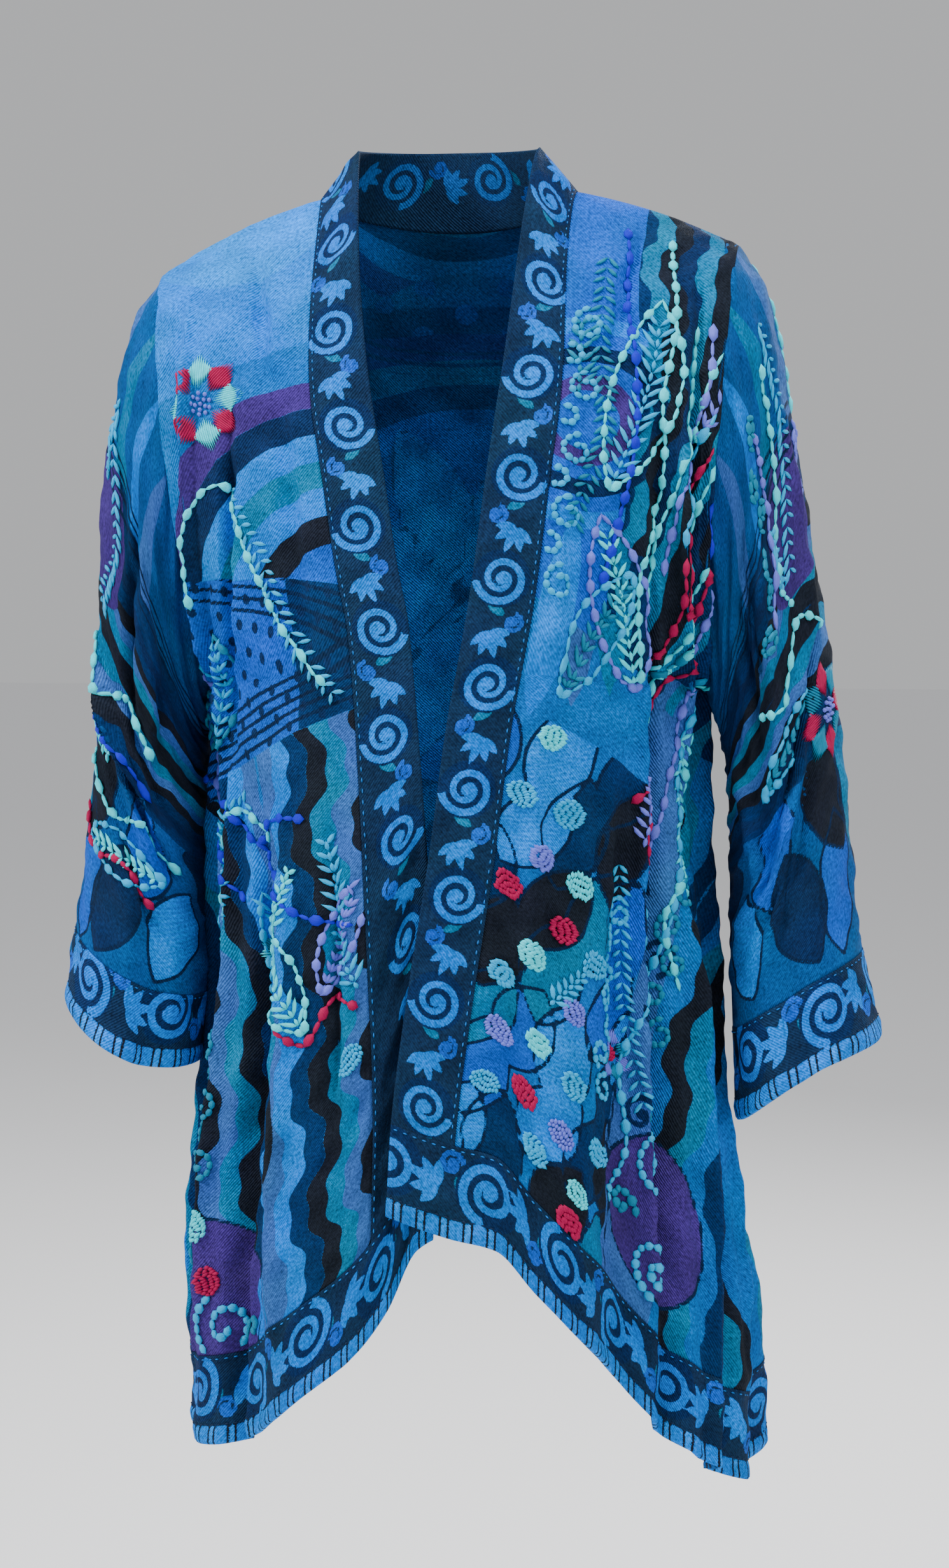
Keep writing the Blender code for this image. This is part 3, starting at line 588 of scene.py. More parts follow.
def scroll_pattern(along, across, width, pitch, phase=0.0):
    """The running scroll of the borders, in a strip of one width: hooks, palmettes and small curls."""
    shapes = {"azure": [], "royal": [], "teal": [], "navy": []}
    low = math.floor((float(np.min(along)) - pitch - phase) / pitch)
    high = math.ceil((float(np.max(along)) + pitch - phase) / pitch)
    for i in range(low, high + 1):
        at = phase + i * pitch
        way = 1 if i % 2 == 0 else -1
        middle = width * (0.5 + 0.04 * way)
        near = width * (0.5 - 0.1 * way)
        far = width * (0.5 + 0.24 * way)
        half_way = at + pitch * 0.5
        curl = half_way + width * 0.16
        shapes["azure"] += [
            spiral(along, across, at, middle, width * 0.4, width * 0.125, 100.0 * way, 1.75, way),
            palmette(along, across, half_way, near, width * 0.46, 180.0 - 20.0 * way),
        ]
        shapes["royal"].append(spiral(along, across, curl, far, width * 0.17, width * 0.08, 0.0, 1.4))
        leaf_at = at - pitch * 0.34
        shapes["teal"].append(leaf(along, across, leaf_at, near, width * 0.34, width * 0.15, 60.0 * way))
        shapes["navy"].append(disc(along, across, at, middle, width * 0.46))
    return {name: any_of(*parts) for name, parts in shapes.items()}


def leaf_patch(u, v, columns, rows, u0, v0, across, up, length, width, degrees):
    """Staggered rows of pointed leaves, dealt out in turn to five colours."""
    shares = [[] for _ in range(5)]
    for row in range(rows):
        for column in range(columns):
            shift = across * 0.5 * (row % 2)
            turn = degrees + 14.0 * math.sin(2.3 * row + 1.7 * column)
            shape = leaf(u, v, u0 + column * across + shift, v0 + row * up, length, width, turn)
            shares[(2 * row + 3 * column) % 5].append(shape)
    return [any_of(*shapes) for shapes in shares]


def nested_waves(u, v, u0, degrees, width, wave, wave_length, count):
    """Wavy bands nested on both sides of a line. Gives one shape for each band, from the line outward."""
    along, across = turned(u, v, u0, 0.0, degrees)
    across = np.abs(across) - wave * zigzag(along, wave_length) * np.clip(np.abs(across) / 0.03, 0.2, 1.0)
    return [width / 2 - np.abs(across - (i + 0.5) * width) for i in range(count)]


def woven(*regions):
    """One shape for each colour, from regions of a mask, colour names and shapes. A name of - skips one."""
    colours = {}
    for mask, names, shapes in regions:
        for colour, shape in zip(names.split(), shapes):
            inside = shape if mask is None else both(shape, mask)
            colours[colour] = any_of(colours.get(colour, inside), inside)
    colours.pop("-", None)
    return colours


def front_left_pattern(u, v):
    leaves = leaf_patch(u, v, 4, 7, -0.02, -0.03, 0.048, 0.062, 0.098, 0.052, 74.0)
    waves = nested_waves(u, v, 0.125, 90.0, 0.013, 0.006, 0.075, 5)
    flank = nested_waves(u, v, 0.3, 90.0, 0.017, 0.01, 0.095, 4)
    sweep = [ring(u, v, 0.02, 0.64, 0.03 + 0.024 * i, 0.013) for i in range(3)]
    slips = [leaf(u, v, 0.01 + 0.03 * i, 0.42 + 0.012 * i, 0.15, 0.03, 84.0 + 6.0 * i) for i in range(3)]
    curls = [(0.175 + 0.03 * (i % 2), 0.15 + 0.04 * i, 90.0 * i) for i in range(5)]
    hooks = any_of(*[spiral(u, v, u0, v0, 0.015, 0.005, start, 1.3) for u0, v0, start in curls])
    corner = disc(u, v, 0.215, 0.085, 0.062)
    patch = both(0.43 - 0.4 * u - v, 0.15 - u)
    upper = v - 0.5 + 0.35 * u
    side = both(u - 0.15, 0.46 - v)
    return woven(
        (None, "purple line", (corner, outline(corner))),
        (patch, "azure charcoal royal deep teal", leaves),
        (patch, "bright line", (both(leaves[0], hatch(u, v)), outline(*leaves))),
        (upper, "charcoal teal navy - teal", waves),
        (both(upper, v - 0.55), "charcoal", waves[3:]),
        (upper, "purple navy", sweep),
        (both(upper, 0.06 - u), "azure", sweep[2:]),
        (upper, "deep royal", (u - 0.055, 0.055 - u)),
        (side, "slate navy line", (0.215 - u, hooks, tucks(u, v, 0.157, 0.0, 92.0, 4))),
        (0.46 - v, "deep - teal", flank),
        (0.4 - v, "charcoal", flank[3:]),
        (0.6 - v, "azure", slips),
        (-upper, "slate", slips[1:]),
        (0.5 - v, "teal", slips[2:]),
    )


def front_right_pattern(u, v):
    waves = nested_waves(u, v, 0.105, 91.0, 0.0165, 0.011, 0.098, 7)
    flank = nested_waves(u, v, 0.28, 90.0, 0.017, 0.01, 0.095, 2)
    arcs = [ring(u, v, 0.0, 0.5, 0.075 + 0.022 * i, 0.022) for i in range(6)]
    slips = [leaf(u, v, 0.1, 0.11 + 0.075 * i, 0.085, 0.03, 84.0 + 10.0 * (i % 2)) for i in range(3)]
    curls = [(0.12 + 0.034 * i, 0.03 + 0.01 * i, 120.0 * i) for i in range(3)]
    hooks = any_of(*[spiral(u, v, u0, v0, 0.014, 0.0045, start, 1.3) for u0, v0, start in curls])
    corner = disc(u, v, 0.205, 0.03, 0.07)
    low = 0.46 - 0.28 * u - v
    upper = v - 0.535 - 0.3 * u
    field = both(-upper, -low)
    shoulder = both(upper, v - 0.73 + 0.2 * u)
    return woven(
        (None, "purple line azure", (corner, outline(corner), shoulder)),
        (low, "slate azure deep charcoal teal slate charcoal", waves),
        (low, "deep teal", flank),
        (low, "charcoal teal azure navy", (*slips, hooks)),
        (upper, "charcoal azure teal azure navy", arcs),
        (both(upper, -shoulder), "purple", arcs[5:]),
        (upper, "royal", [disc(u, v, 0.0, 0.5, 0.08)]),
        (field, "deep royal slate", (0.045 - u, u - 0.045, 0.01 - np.abs(u - 0.155))),
        (field, "navy", [dots(u, v * 0.7, 0.0135, 0.003, 18.0)]),
        (both(field, 0.3 - u), "line", [tucks(u, v, 0.0, 0.47, 162.0, 5, -0.008)]),
        (both(field, 0.22 - u), "line", [tucks(u, v, 0.0, 0.5, 24.0, 4)]),
        (shoulder, "bright", [disc(u, v, 0.06, 0.86, 0.075)]),
    )


def back_pattern(u, v):
    heart_v = 0.47
    fan = [leaf(u, v, 0.0, heart_v, 0.15, 0.056, 45.0 * i + 22.5) for i in range(8)]
    inner = [leaf(u, v, 0.0, heart_v, 0.08, 0.032, 45.0 * i) for i in range(8)]
    rings = [ring(u, v, 0.0, heart_v, 0.165 + 0.022 * i, 0.022) for i in range(4)]
    arcs = [ring(u, v, 0.0, 0.93, 0.12 + 0.024 * i, 0.024) for i in range(5)]
    halves = [nested_waves(u, v, u0, 90.0, 0.016, 0.01, 0.095, 7) for u0 in (0.13, -0.13)]
    waves = [np.where(u > 0.0, left, right) for left, right in zip(*halves)]
    flank = nested_waves(np.abs(u), v, 0.3, 90.0, 0.017, 0.01, 0.095, 3)
    flower = any_of(*fan)
    corners = disc(np.abs(u), v, 0.235, 0.045, 0.062)
    low = 0.24 + 0.08 * np.cos(u / 0.3 * math.pi) - v
    yoke = v - 0.68 - 0.06 * np.cos(u / 0.2 * math.pi)
    middle = both(-low, -yoke)
    return woven(
        (None, "purple line royal", (corners, outline(corners), disc(u, v, 0.0, heart_v, 0.155))),
        (None, "azure bright line teal", (flower, both(flower, hatch(u, v)), outline(*fan), any_of(*inner))),
        (low, "slate azure deep charcoal teal - charcoal", waves),
        (0.4 - v, "deep - teal", flank),
        (middle, "charcoal teal purple deep", rings),
        (yoke, "charcoal teal navy azure purple", arcs),
        (middle, "slate royal", (np.abs(u) - 0.205, dots(u, v, 0.034, 0.009, 30.0))),
        (both(middle, np.abs(u) - 0.19), "navy", [dots(u, v, 0.0135, 0.003, 20.0)]),
        (middle, "line", [tucks(u, v, 0.0, 0.655, 0.0, 4)]),
    )


def sleeve_pattern(u, v, shift):
    bands = nested_waves(v, u, 0.215 + shift, 92.0, 0.014, 0.006, 0.085, 6)
    leaves = leaf_patch(u, v, 8, 2, -0.26, 0.3 + shift, 0.062, 0.062, 0.1, 0.048, 80.0)
    slips = [leaf(u, v, -0.19 + 0.055 * i, 0.0, 0.14, 0.03, 86.0 + 4.0 * (i % 3)) for i in range(8)]
    low = v - 0.315 - shift
    top = 0.105 + shift - v
    middle = both(-low, -top)
    return woven(
        (None, "deep", [middle]),
        (middle, "charcoal teal slate charcoal - navy", bands),
        (both(middle, u - 0.02), "azure", bands[4:]),
        (middle, "royal", [disc(u, v, 0.09, 0.16, 0.06)]),
        (-low, "purple", [disc(u, v, -0.06, 0.15 + shift, 0.05)]),
        (low, "azure royal teal navy charcoal", leaves),
        (low, "bright line", (both(leaves[0], hatch(u, v)), outline(*leaves))),
        (top, "slate azure teal " * 3, slips),
        (0.4 - v, "line", [tucks(u, v, 0.0, 0.1 + shift, 4.0, 4)]),
    )


# Materials.

# Scales of the textures, in repeats to the metre of cloth.
TWILL = 260.0
FUZZ = 1100.0
HEATHER = 420.0
FADING = 26.0
DRIFT = 11.0
PLIES = 450.0
PLY_TONES = 160.0

# How far the woven shapes' edges wander, and how soft they are.
WANDER = 0.0018
SOFTNESS = 0.0002

OUTPUTS = {"Math": "Value", "Mix": "Result", "MapRange": "Result", "UVMap": "UV", "Bump": "Normal"}


class Paint:
    """A material and the nodes that feed it. An input is given as a value or as another node's output."""

    def __init__(self, name, surface):
        self.material = bpy.data.materials.new(name)
        self.material.use_nodes = True
        self.tree = self.material.node_tree
        self.surface = self.tree.nodes["Principled BSDF"]
        self.feed(self.surface, surface)

    def feed(self, node, inputs):
        for key, value in inputs.items():
            if isinstance(value, bpy.types.NodeSocket):
                self.tree.links.new(value, node.inputs[key])
            else:
                node.inputs[key].default_value = value

    def node(self, kind, inputs, **settings):
        node = self.tree.nodes.new("ShaderNode" + kind)
        for key, value in settings.items():
            setattr(node, key, value)
        self.feed(node, inputs)
        return node.outputs[OUTPUTS.get(kind, "Fac")]

    def maths(self, operation, *values):
        return self.node("Math", dict(enumerate(values)), operation=operation)

    def noise(self, flat, scale, detail):
        return self.node("TexNoise", {"Vector": flat, "Scale": scale, "Detail": detail})

    def blend(self, factor, first, second, blend_type="MIX"):
        inputs = {"Factor": factor, "A": first, "B": second}
        return self.node("Mix", inputs, data_type="RGBA", blend_type=blend_type)

    def finish(self, colour, height, strength, distance):
        relief = self.node("Bump", {"Strength": strength, "Distance": distance, "Height": height})
        self.feed(self.surface, {"Base Color": colour, "Normal": relief})
        return self.material


def cloth_material(name, ground, layers, fade=0.0):
    """Woven cloth: a ground and crisp coloured shapes, each held as a distance on the mesh."""
    paint = Paint(name, {
        "Roughness": 0.85, "Specular IOR Level": 0.06, "Sheen Weight": 0.02, "Sheen Roughness": 0.45,
        "Sheen Tint": (0.55, 0.75, 1.0, 1.0),
    })
    flat = paint.node("UVMap", {})
    heather = paint.noise(flat, HEATHER, 2.0)
    lines = {"Vector": flat, "Scale": TWILL, "Distortion": 1.5, "Detail": 1.0}
    twill = paint.node("TexWave", lines, bands_direction="DIAGONAL")

    wander = paint.maths("MULTIPLY_ADD", paint.noise(flat, FUZZ, 1.0), WANDER, -WANDER / 2)
    colour = (*ground, 1.0)
    for layer in layers:
        tone = [mix(woven, plain, fade) for woven, plain in zip(WOVEN[layer], ground)]
        distance = paint.maths("ADD", paint.node("Attribute", {}, attribute_name="woven_" + layer), wander)
        inside = paint.node("MapRange", {"Value": distance, "From Min": -SOFTNESS, "From Max": SOFTNESS})
        colour = paint.blend(inside, colour, (*tone, 1.0))

    hue = paint.blend(paint.noise(flat, DRIFT, 2.0), (1.0, 1.22, 0.8, 1.0), (1.0, 0.8, 1.15, 1.0))
    shade = paint.maths("MULTIPLY_ADD", paint.noise(flat, FADING, 3.0), 1.1, 0.45)
    speck = paint.maths("MULTIPLY", heather, 2.1)
    rib = paint.maths("MULTIPLY_ADD", twill, 0.28, 0.84)
    light = paint.maths("MULTIPLY", paint.maths("MULTIPLY", shade, speck), rib)
    colour = paint.blend(1.0, paint.blend(1.0, colour, hue, "MULTIPLY"), light, "MULTIPLY")
    return paint.finish(colour, paint.maths("ADD", twill, heather), 0.7, 0.0008)


def thread_material(name, colour):
    """Stranded yarn: fine plies across the stitch, a soft sheen and small changes of tone."""
    paint = Paint(name, {
        "Roughness": 0.6, "Specular IOR Level": 0.14, "Sheen Weight": 0.02, "Sheen Roughness": 0.35,
    })
    flat = paint.node("UVMap", {})
    plies = paint.node("TexWave", {"Vector": flat, "Scale": PLIES, "Distortion": 1.2}, bands_direction="Y")
    uneven = paint.noise(flat, PLY_TONES, 2.0)
    tone = paint.node("MapRange", {"Value": uneven, "To Min": 0.62, "To Max": 1.18})
    return paint.finish(paint.blend(1.0, (*colour, 1.0), tone, "MULTIPLY"), plies, 0.6, 0.0004)


YARNS = {
    "aqua": (0.03, 0.74, 0.86),
    "turquoise": (0.0, 0.4, 0.76),
    "lagoon": (0.0, 0.21, 0.36),
    "lavender": (0.15, 0.18, 0.76),
    "crimson": (0.4, 0.002, 0.07),
    "ultramarine": (0.003, 0.008, 0.6),
    "sky": (0.0, 0.18, 0.64),
    "ink": (0.006, 0.02, 0.06),
}
yarns = {name: thread_material("yarn_" + name, colour) for name, colour in YARNS.items()}


def finish_piece(name, mesh, nodes=()):
    """Put a mesh in the scene on the jacket's body."""
    mesh.shade_smooth()
    piece = bpy.data.objects.new(name, mesh)
    bpy.context.scene.collection.objects.link(piece)
    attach(piece, "root")
    if nodes:
        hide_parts(*nodes)
    return piece


def set_flat(mesh, u, v):
    """Give a mesh the flat positions of its points."""
    corners = np.empty(len(mesh.loops), dtype=np.int32)
    mesh.loops.foreach_get("vertex_index", corners)
    mesh.uv_layers.new(name="flat").data.foreach_set("uv", np.stack([u[corners], v[corners]], axis=1).ravel())


def quads(index):
    """Faces of a grid of point numbers."""
    corners = [index[:-1, :-1], index[:-1, 1:], index[1:, 1:], index[1:, :-1]]
    return np.stack([corner.ravel() for corner in corners], axis=1).tolist()


def shell(name, cloth, pattern, slot, thickness, raised, closed):
    """A closed thin wall on a cloth's grid, with the woven pattern as distances on its points.

    The outer skin has all of the grid, and the inner one every second row and column.
    """
    rows, columns = cloth.points.shape[:2]
    keep = columns - 1 if closed else columns
    cloth.points = cloth.points + cloth.normals * np.reshape(raised, (-1, 1, 1))
    inner = cloth.points - cloth.normals * np.reshape(thickness, (-1, 1, 1))

    def skins(grid, under):
        size = grid.shape[2:]
        return np.concatenate([grid[:, :keep].reshape(-1, *size), under[::2, :keep:2].reshape(-1, *size)])

    fine = np.arange(rows * keep).reshape(rows, keep)
    coarse = rows * keep + np.arange(((rows + 1) // 2) * ((keep + 1) // 2)).reshape((rows + 1) // 2, -1)
    if closed:
        fine, coarse = (np.concatenate([index, index[:, :1]], axis=1) for index in (fine, coarse))
    outer_faces = quads(fine)
    inner_faces = quads(coarse[:, ::-1])
    rims = [(fine[0], coarse[0], 1), (fine[-1], coarse[-1], -1)]
    if not closed:
        rims += [(fine[:, 0], coarse[:, 0], -1), (fine[:, -1], coarse[:, -1], 1)]
    rim_faces = []
    for line, inside, way in rims:
        for i in range(len(inside) - 1):
            rim_faces.append([line[2 * i + 2], line[2 * i + 1], line[2 * i], inside[i], inside[i + 1]][::way])

    faces = outer_faces + inner_faces + rim_faces
    across = cloth.points[0, 1] - cloth.points[0, 0]
    along = cloth.points[1, 0] - cloth.points[0, 0]
    if np.dot(np.cross(across, along), cloth.normals[0, 0]) <= 0.0:
        faces = [face[::-1] for face in faces]
    mesh = bpy.data.meshes.new(name)
    mesh.from_pydata(skins(cloth.points, inner).tolist(), [], faces)
    u, v = (skins(flat, flat) for flat in cloth.flat())
    set_flat(mesh, u, v)
    fields = pattern(u, v)
    layers = [layer for layer in WOVEN if layer in fields]
    for layer in layers:
        field = mesh.attributes.new("woven_" + layer, "FLOAT", "POINT")
        field.data.foreach_set("value", np.asarray(fields[layer], dtype=np.float32))
    mesh.materials.append(cloth_material(name + "_face", GROUND[slot], layers))
    mesh.materials.append(cloth_material(name + "_reverse", GROUND[slot], layers, fade=0.55))
    skin = np.repeat([0, 1, 0], [len(outer_faces), len(inner_faces), len(rim_faces)]).astype(np.int32)
    mesh.polygons.foreach_set("material_index", skin)
    return finish_piece(name, mesh, (name.removesuffix("_cloth"),))


def grid_cloth(surface, half, first, second, way=1, u_zero=0):
    """Cloth on surface(half, first, second) with its soft unevenness."""
    points = surface(half, first, second)
    normals = normals_of(surface, half, first, second, way)
    cloth = Cloth(points, normals, u_zero)
    cloth.points = points + normals * pucker(cloth)
    return cloth


# Grids of the cloth pieces.

# Seam allowances: how far a piece runs on behind its neighbour.
SLEEVE_TUCK = -0.012
TUCK_DEPTH = 0.006
NECK_TUCK = 1.06
ARMHOLE_TUCK = 0.012

# Steps of each grid. They are even, as a shell's inner skin takes every second row and column.
PANEL_LOWER_ROWS = 200
PANEL_UPPER_ROWS = 150
FRONT_COLUMNS = 116
BACK_COLUMNS = 184
BAND_ROWS = 400
BAND_COLUMNS = 28
BORDER_ROWS = 34
BORDER_COLUMNS = 200
BACK_BORDER_COLUMNS = 320
SLEEVE_ROWS = 200
ROUND_COLUMNS = 200
NECK_ROWS = 256
NECK_COLUMNS = 56


def rows(low, high, steps):
    return np.linspace(low, high, steps + 1)[:, None]


def columns(low, high, steps):
    return np.linspace(low, high, steps + 1)[None, :]


def panel_rows(low, middle, high):
    return np.concatenate([rows(low, middle, PANEL_LOWER_ROWS), rows(middle, high, PANEL_UPPER_ROWS)[1:]])


def border_walls():
    """Thickness and raised height of a border with a turned, rolled free edge."""
    share = np.linspace(0.0, 1.0, BORDER_ROWS + 1)
    roll = 1.0 - ease((share - 0.14) / 0.1)
    tip = np.sqrt(1.0 - (1.0 - np.clip(share / 0.05, 0.0, 1.0)) ** 2)
    thickness = mix(STRIP, HEM_ROLL, roll) * mix(0.55, 1.0, tip)
    raised = mix(STRIP_RAISE, HEM_ROLL_RAISE, roll) * mix(0.25, 1.0, tip)
    return thickness, raised


def armhole_tuck(s):
    """How far a panel's q runs past the lower armhole, to cross the sleeve's wall."""
    rise = rise_of(s)
    return ARMHOLE_TUCK * ease(rise / 0.05) * (1.0 - ease((rise - 0.55) / 0.25))


def front_cloth(half):
    s = panel_rows(BORDER_TOP, UNDERARM, 1.0)
    q = mix(seam_place(half, s), 1.0 + armhole_tuck(s), columns(0.0, 1.0, FRONT_COLUMNS))
    return grid_cloth(body_folded, half, s, q)


def front_border_cloth(half):
    s = rows(0.0, BORDER_TOP, BORDER_ROWS)
    q = mix(edge_place(half, s), 1.0, columns(0.0, 1.0, BORDER_COLUMNS))
    return grid_cloth(body_folded, half, s, q)


def band_cloth(half):
    return grid_cloth(band_surface, half, rows(BORDER_TOP, 1.0, BAND_ROWS), columns(0.0, 1.0, BAND_COLUMNS))


def surface_of(surface, half, first, second):
    return surface(half, first, second), normals_of(surface, half, first, second)


def two_sided(places_of):
    """A cloth from the right side seam round to the left one. places_of gives a half's s and q."""
    right = surface_of(body_folded, RIGHT, *places_of(RIGHT))
    left = surface_of(body_folded, LEFT, *places_of(LEFT))
    points, normals = (np.concatenate([one[:, :0:-1], two], axis=1) for one, two in zip(right, left))
    middle = right[0].shape[1] - 1
    normals[:, middle] = unit(right[1][:, 0] + left[1][:, 0])
    cloth = Cloth(points, normals, middle)
    cloth.points = points + normals * pucker(cloth)
    return cloth


def back_places(half):
    """Levels and places of the back, whose upper rows bend round the neck."""
    share = panel_rows(0.0, 0.5, 1.0)
    neck_columns = BACK_COLUMNS // 4
    shoulder_columns = BACK_COLUMNS // 2 - neck_columns
    neck_s, neck_q = neck_line(half, np.linspace(1.5, 1.0, neck_columns + 1))
    shoulder_q = mix(neck_q[-1], 1.0, np.linspace(0.0, 1.0, shoulder_columns + 1)[1:])
    top_s = np.concatenate([neck_s, np.ones(shoulder_columns)])[None, :]
    lower = mix(BACK_HEM - BORDER_TOP, 2.0 - UNDERARM, share * 2.0)
    upper = mix(2.0 - UNDERARM, top_s, share * 2.0 - 1.0)
    s = np.where(share <= 0.5, lower, upper)
    return s, np.concatenate([neck_q, shoulder_q])[None, :] * (1.0 + armhole_tuck(s))


def back_border_places(half):
    return BACK_HEM - rows(0.0, BORDER_TOP, BORDER_ROWS), columns(0.0, 1.0, BACK_BORDER_COLUMNS // 2)


def neck_cloth():
    t = rows(1.0, 1.5, NECK_ROWS // 2)
    w = columns(0.0, NECK_TUCK, NECK_COLUMNS)
    left, right = (surface_of(band_surface, half, t, w) for half in (LEFT, RIGHT))
    left[1][-1] = unit(left[1][-1] + right[1][-1])
    return Cloth(*(np.concatenate([one, two[-2::-1]]) for one, two in zip(left, right)))


def tube_cloth(half, v):
    """Cloth all round a sleeve. Its first and last columns are the same line, under the arm."""
    around = columns(0.0, 2.0 * math.pi, ROUND_COLUMNS)
    return grid_cloth(sleeve_folded, half, v, around, way=-1, u_zero=ROUND_COLUMNS // 2)


def sleeve_cloth(half):
    v = rows(SLEEVE_TUCK, CUFF_START, SLEEVE_ROWS)
    cloth = tube_cloth(half, v)
    cloth.points = cloth.points - cloth.normals * (ease(v / SLEEVE_TUCK) * TUCK_DEPTH)[..., None]
    return cloth


# Patterns of the strips.

SCROLL_PITCH = 0.074
BAR_PITCH = 0.017
ROLLED = 0.0135
SCROLL_START = 0.012


def border_weave(u, v):
    """The scroll above a rolled edge with woven bars."""
    shapes = scroll_pattern(u, v - SCROLL_START, BORDER_WIDTH - SCROLL_START, SCROLL_PITCH)
    wave = np.abs((u / BAR_PITCH) % 1.0 - 0.5) * BAR_PITCH
    bars = both(ROLLED - v, wave - BAR_PITCH * 0.22)
    shapes["azure"] = any_of(both(shapes["azure"], v - SCROLL_START), bars)
    shapes["bright"] = both(ROLLED - v, BAR_PITCH * 0.12 - wave)
    shapes["charcoal"] = ROLLED - v
    return shapes


def band_weave(u, v):
    return scroll_pattern(v, u, BAND_WIDTH, SCROLL_PITCH, 0.02)


# The grid of each cloth piece: its flat positions across and along, and its length.
cloths = {}


def hang(name, side, cloth, pattern, slot, thickness=CLOTH, raised=0.0, closed=False):
    """Make one cloth piece and keep its grid for the embroidery."""
    piece = shell(name + side + "_cloth", cloth, pattern, slot, thickness, raised, closed)
    cloths[name + side] = cloth


hang("back_panel", "", two_sided(back_places), back_pattern, "back_field")
hang("hem_border_back", "", two_sided(back_border_places), border_weave, "border_strip", *border_walls())
hang("neck_band", "", neck_cloth(), band_weave, "border_strip", STRIP, STRIP_RAISE)
for half, side, front_pattern, shift in (
    (LEFT, "_left", front_left_pattern, 0.012), (RIGHT, "_right", front_right_pattern, 0.0),
):
    hang("front", side, front_cloth(half), front_pattern, "front_field")
    hang("hem_border", side, front_border_cloth(half), border_weave, "border_strip", *border_walls())
    hang("front_band", side, band_cloth(half), band_weave, "border_strip", STRIP, STRIP_RAISE)
    sleeve_weave = functools.partial(sleeve_pattern, shift=shift)
    hang("sleeve", side, sleeve_cloth(half), sleeve_weave, "sleeve_field", closed=True)
    cuff = tube_cloth(half, rows(1.0, CUFF_START, BORDER_ROWS))
    hang("cuff_band", side, cuff, border_weave, "border_strip", *border_walls(), closed=True)

# Embroidery. Stitches are gathered for each cloth and yarn, in flat positions, and made as one mesh each.

rng = np.random.default_rng(20)
work = {}


def spindle(sides, stations):
    """A plump thread shape: its places along the stitch from 0 to 1, the outline of each, and its faces."""
    shares = np.linspace(0.0, 1.0, stations)
    station = [0]
    outline_points = [(0.0, 0.0)]
    for i in range(1, stations - 1):
        girth = 0.5 * (1.0 - (2.0 * shares[i] - 1.0) ** 2) ** 0.42
        for k in range(sides):
            angle = 2.0 * math.pi * k / sides
            station.append(i)
            outline_points.append((girth * math.cos(angle), girth * math.sin(angle)))
    station.append(stations - 1)
    outline_points.append((0.0, 0.0))
    last = len(station) - 1
    faces = []
    for k in range(sides):
        n = (k + 1) % sides
        faces.append((0, 1 + n, 1 + k))
        faces.append((last, last - sides + k, last - sides + n))
        for i in range(stations - 3):
            a = 1 + i * sides + k
            b = 1 + i * sides + n
            faces.append((a, b, b + sides))
            faces.append((a, b + sides, a + sides))
    return shares, np.array(station), np.array(outline_points), np.array(faces)


STITCH_SIDES = 6
STITCH_STATIONS = 4
STITCH_LIFT = 0.3
STITCH_FLATNESS = 0.85
EDGE_MARGIN = 0.001


def stitch(place, yarn, start, end, width, height=None):
    """One straight stitch between two flat positions."""
    work.setdefault((place, yarn), []).append((*start, *end, width, height or width * STITCH_FLATNESS))


def spots(cloth, u, v):
    """3-D points and normals of flat positions on a cloth."""
    rows = np.interp(v, cloth.v, np.arange(len(cloth.v)))
    r = np.clip(rows.astype(int), 0, len(cloth.v) - 2)
    f = (rows - r)[:, None]
    line = mix(cloth.u[r], cloth.u[r + 1], f)
    c = np.clip((line < u[:, None]).sum(axis=1) - 1, 0, line.shape[1] - 2)
    each = np.arange(len(u))
    g = np.clip((u - line[each, c]) / (line[each, c + 1] - line[each, c]), 0.0, 1.0)[:, None]
    found = []
    for grid in (cloth.points, cloth.normals):
        low = mix(grid[r, c], grid[r, c + 1], g)
        high = mix(grid[r + 1, c], grid[r + 1, c + 1], g)
        found.append(mix(low, high, f))
    return found[0], unit(found[1])


def on_cloth(cloth, u, v):
    """Which flat positions lie on a cloth, inside its edges."""
    rows = np.interp(v, cloth.v, np.arange(len(cloth.v)))
    low = np.interp(rows, np.arange(len(cloth.v)), cloth.u[:, 0])
    high = np.interp(rows, np.arange(len(cloth.v)), cloth.u[:, -1])
    return (u > low + EDGE_MARGIN) & (u < high - EDGE_MARGIN) & (v > 0.0) & (v < cloth.length)


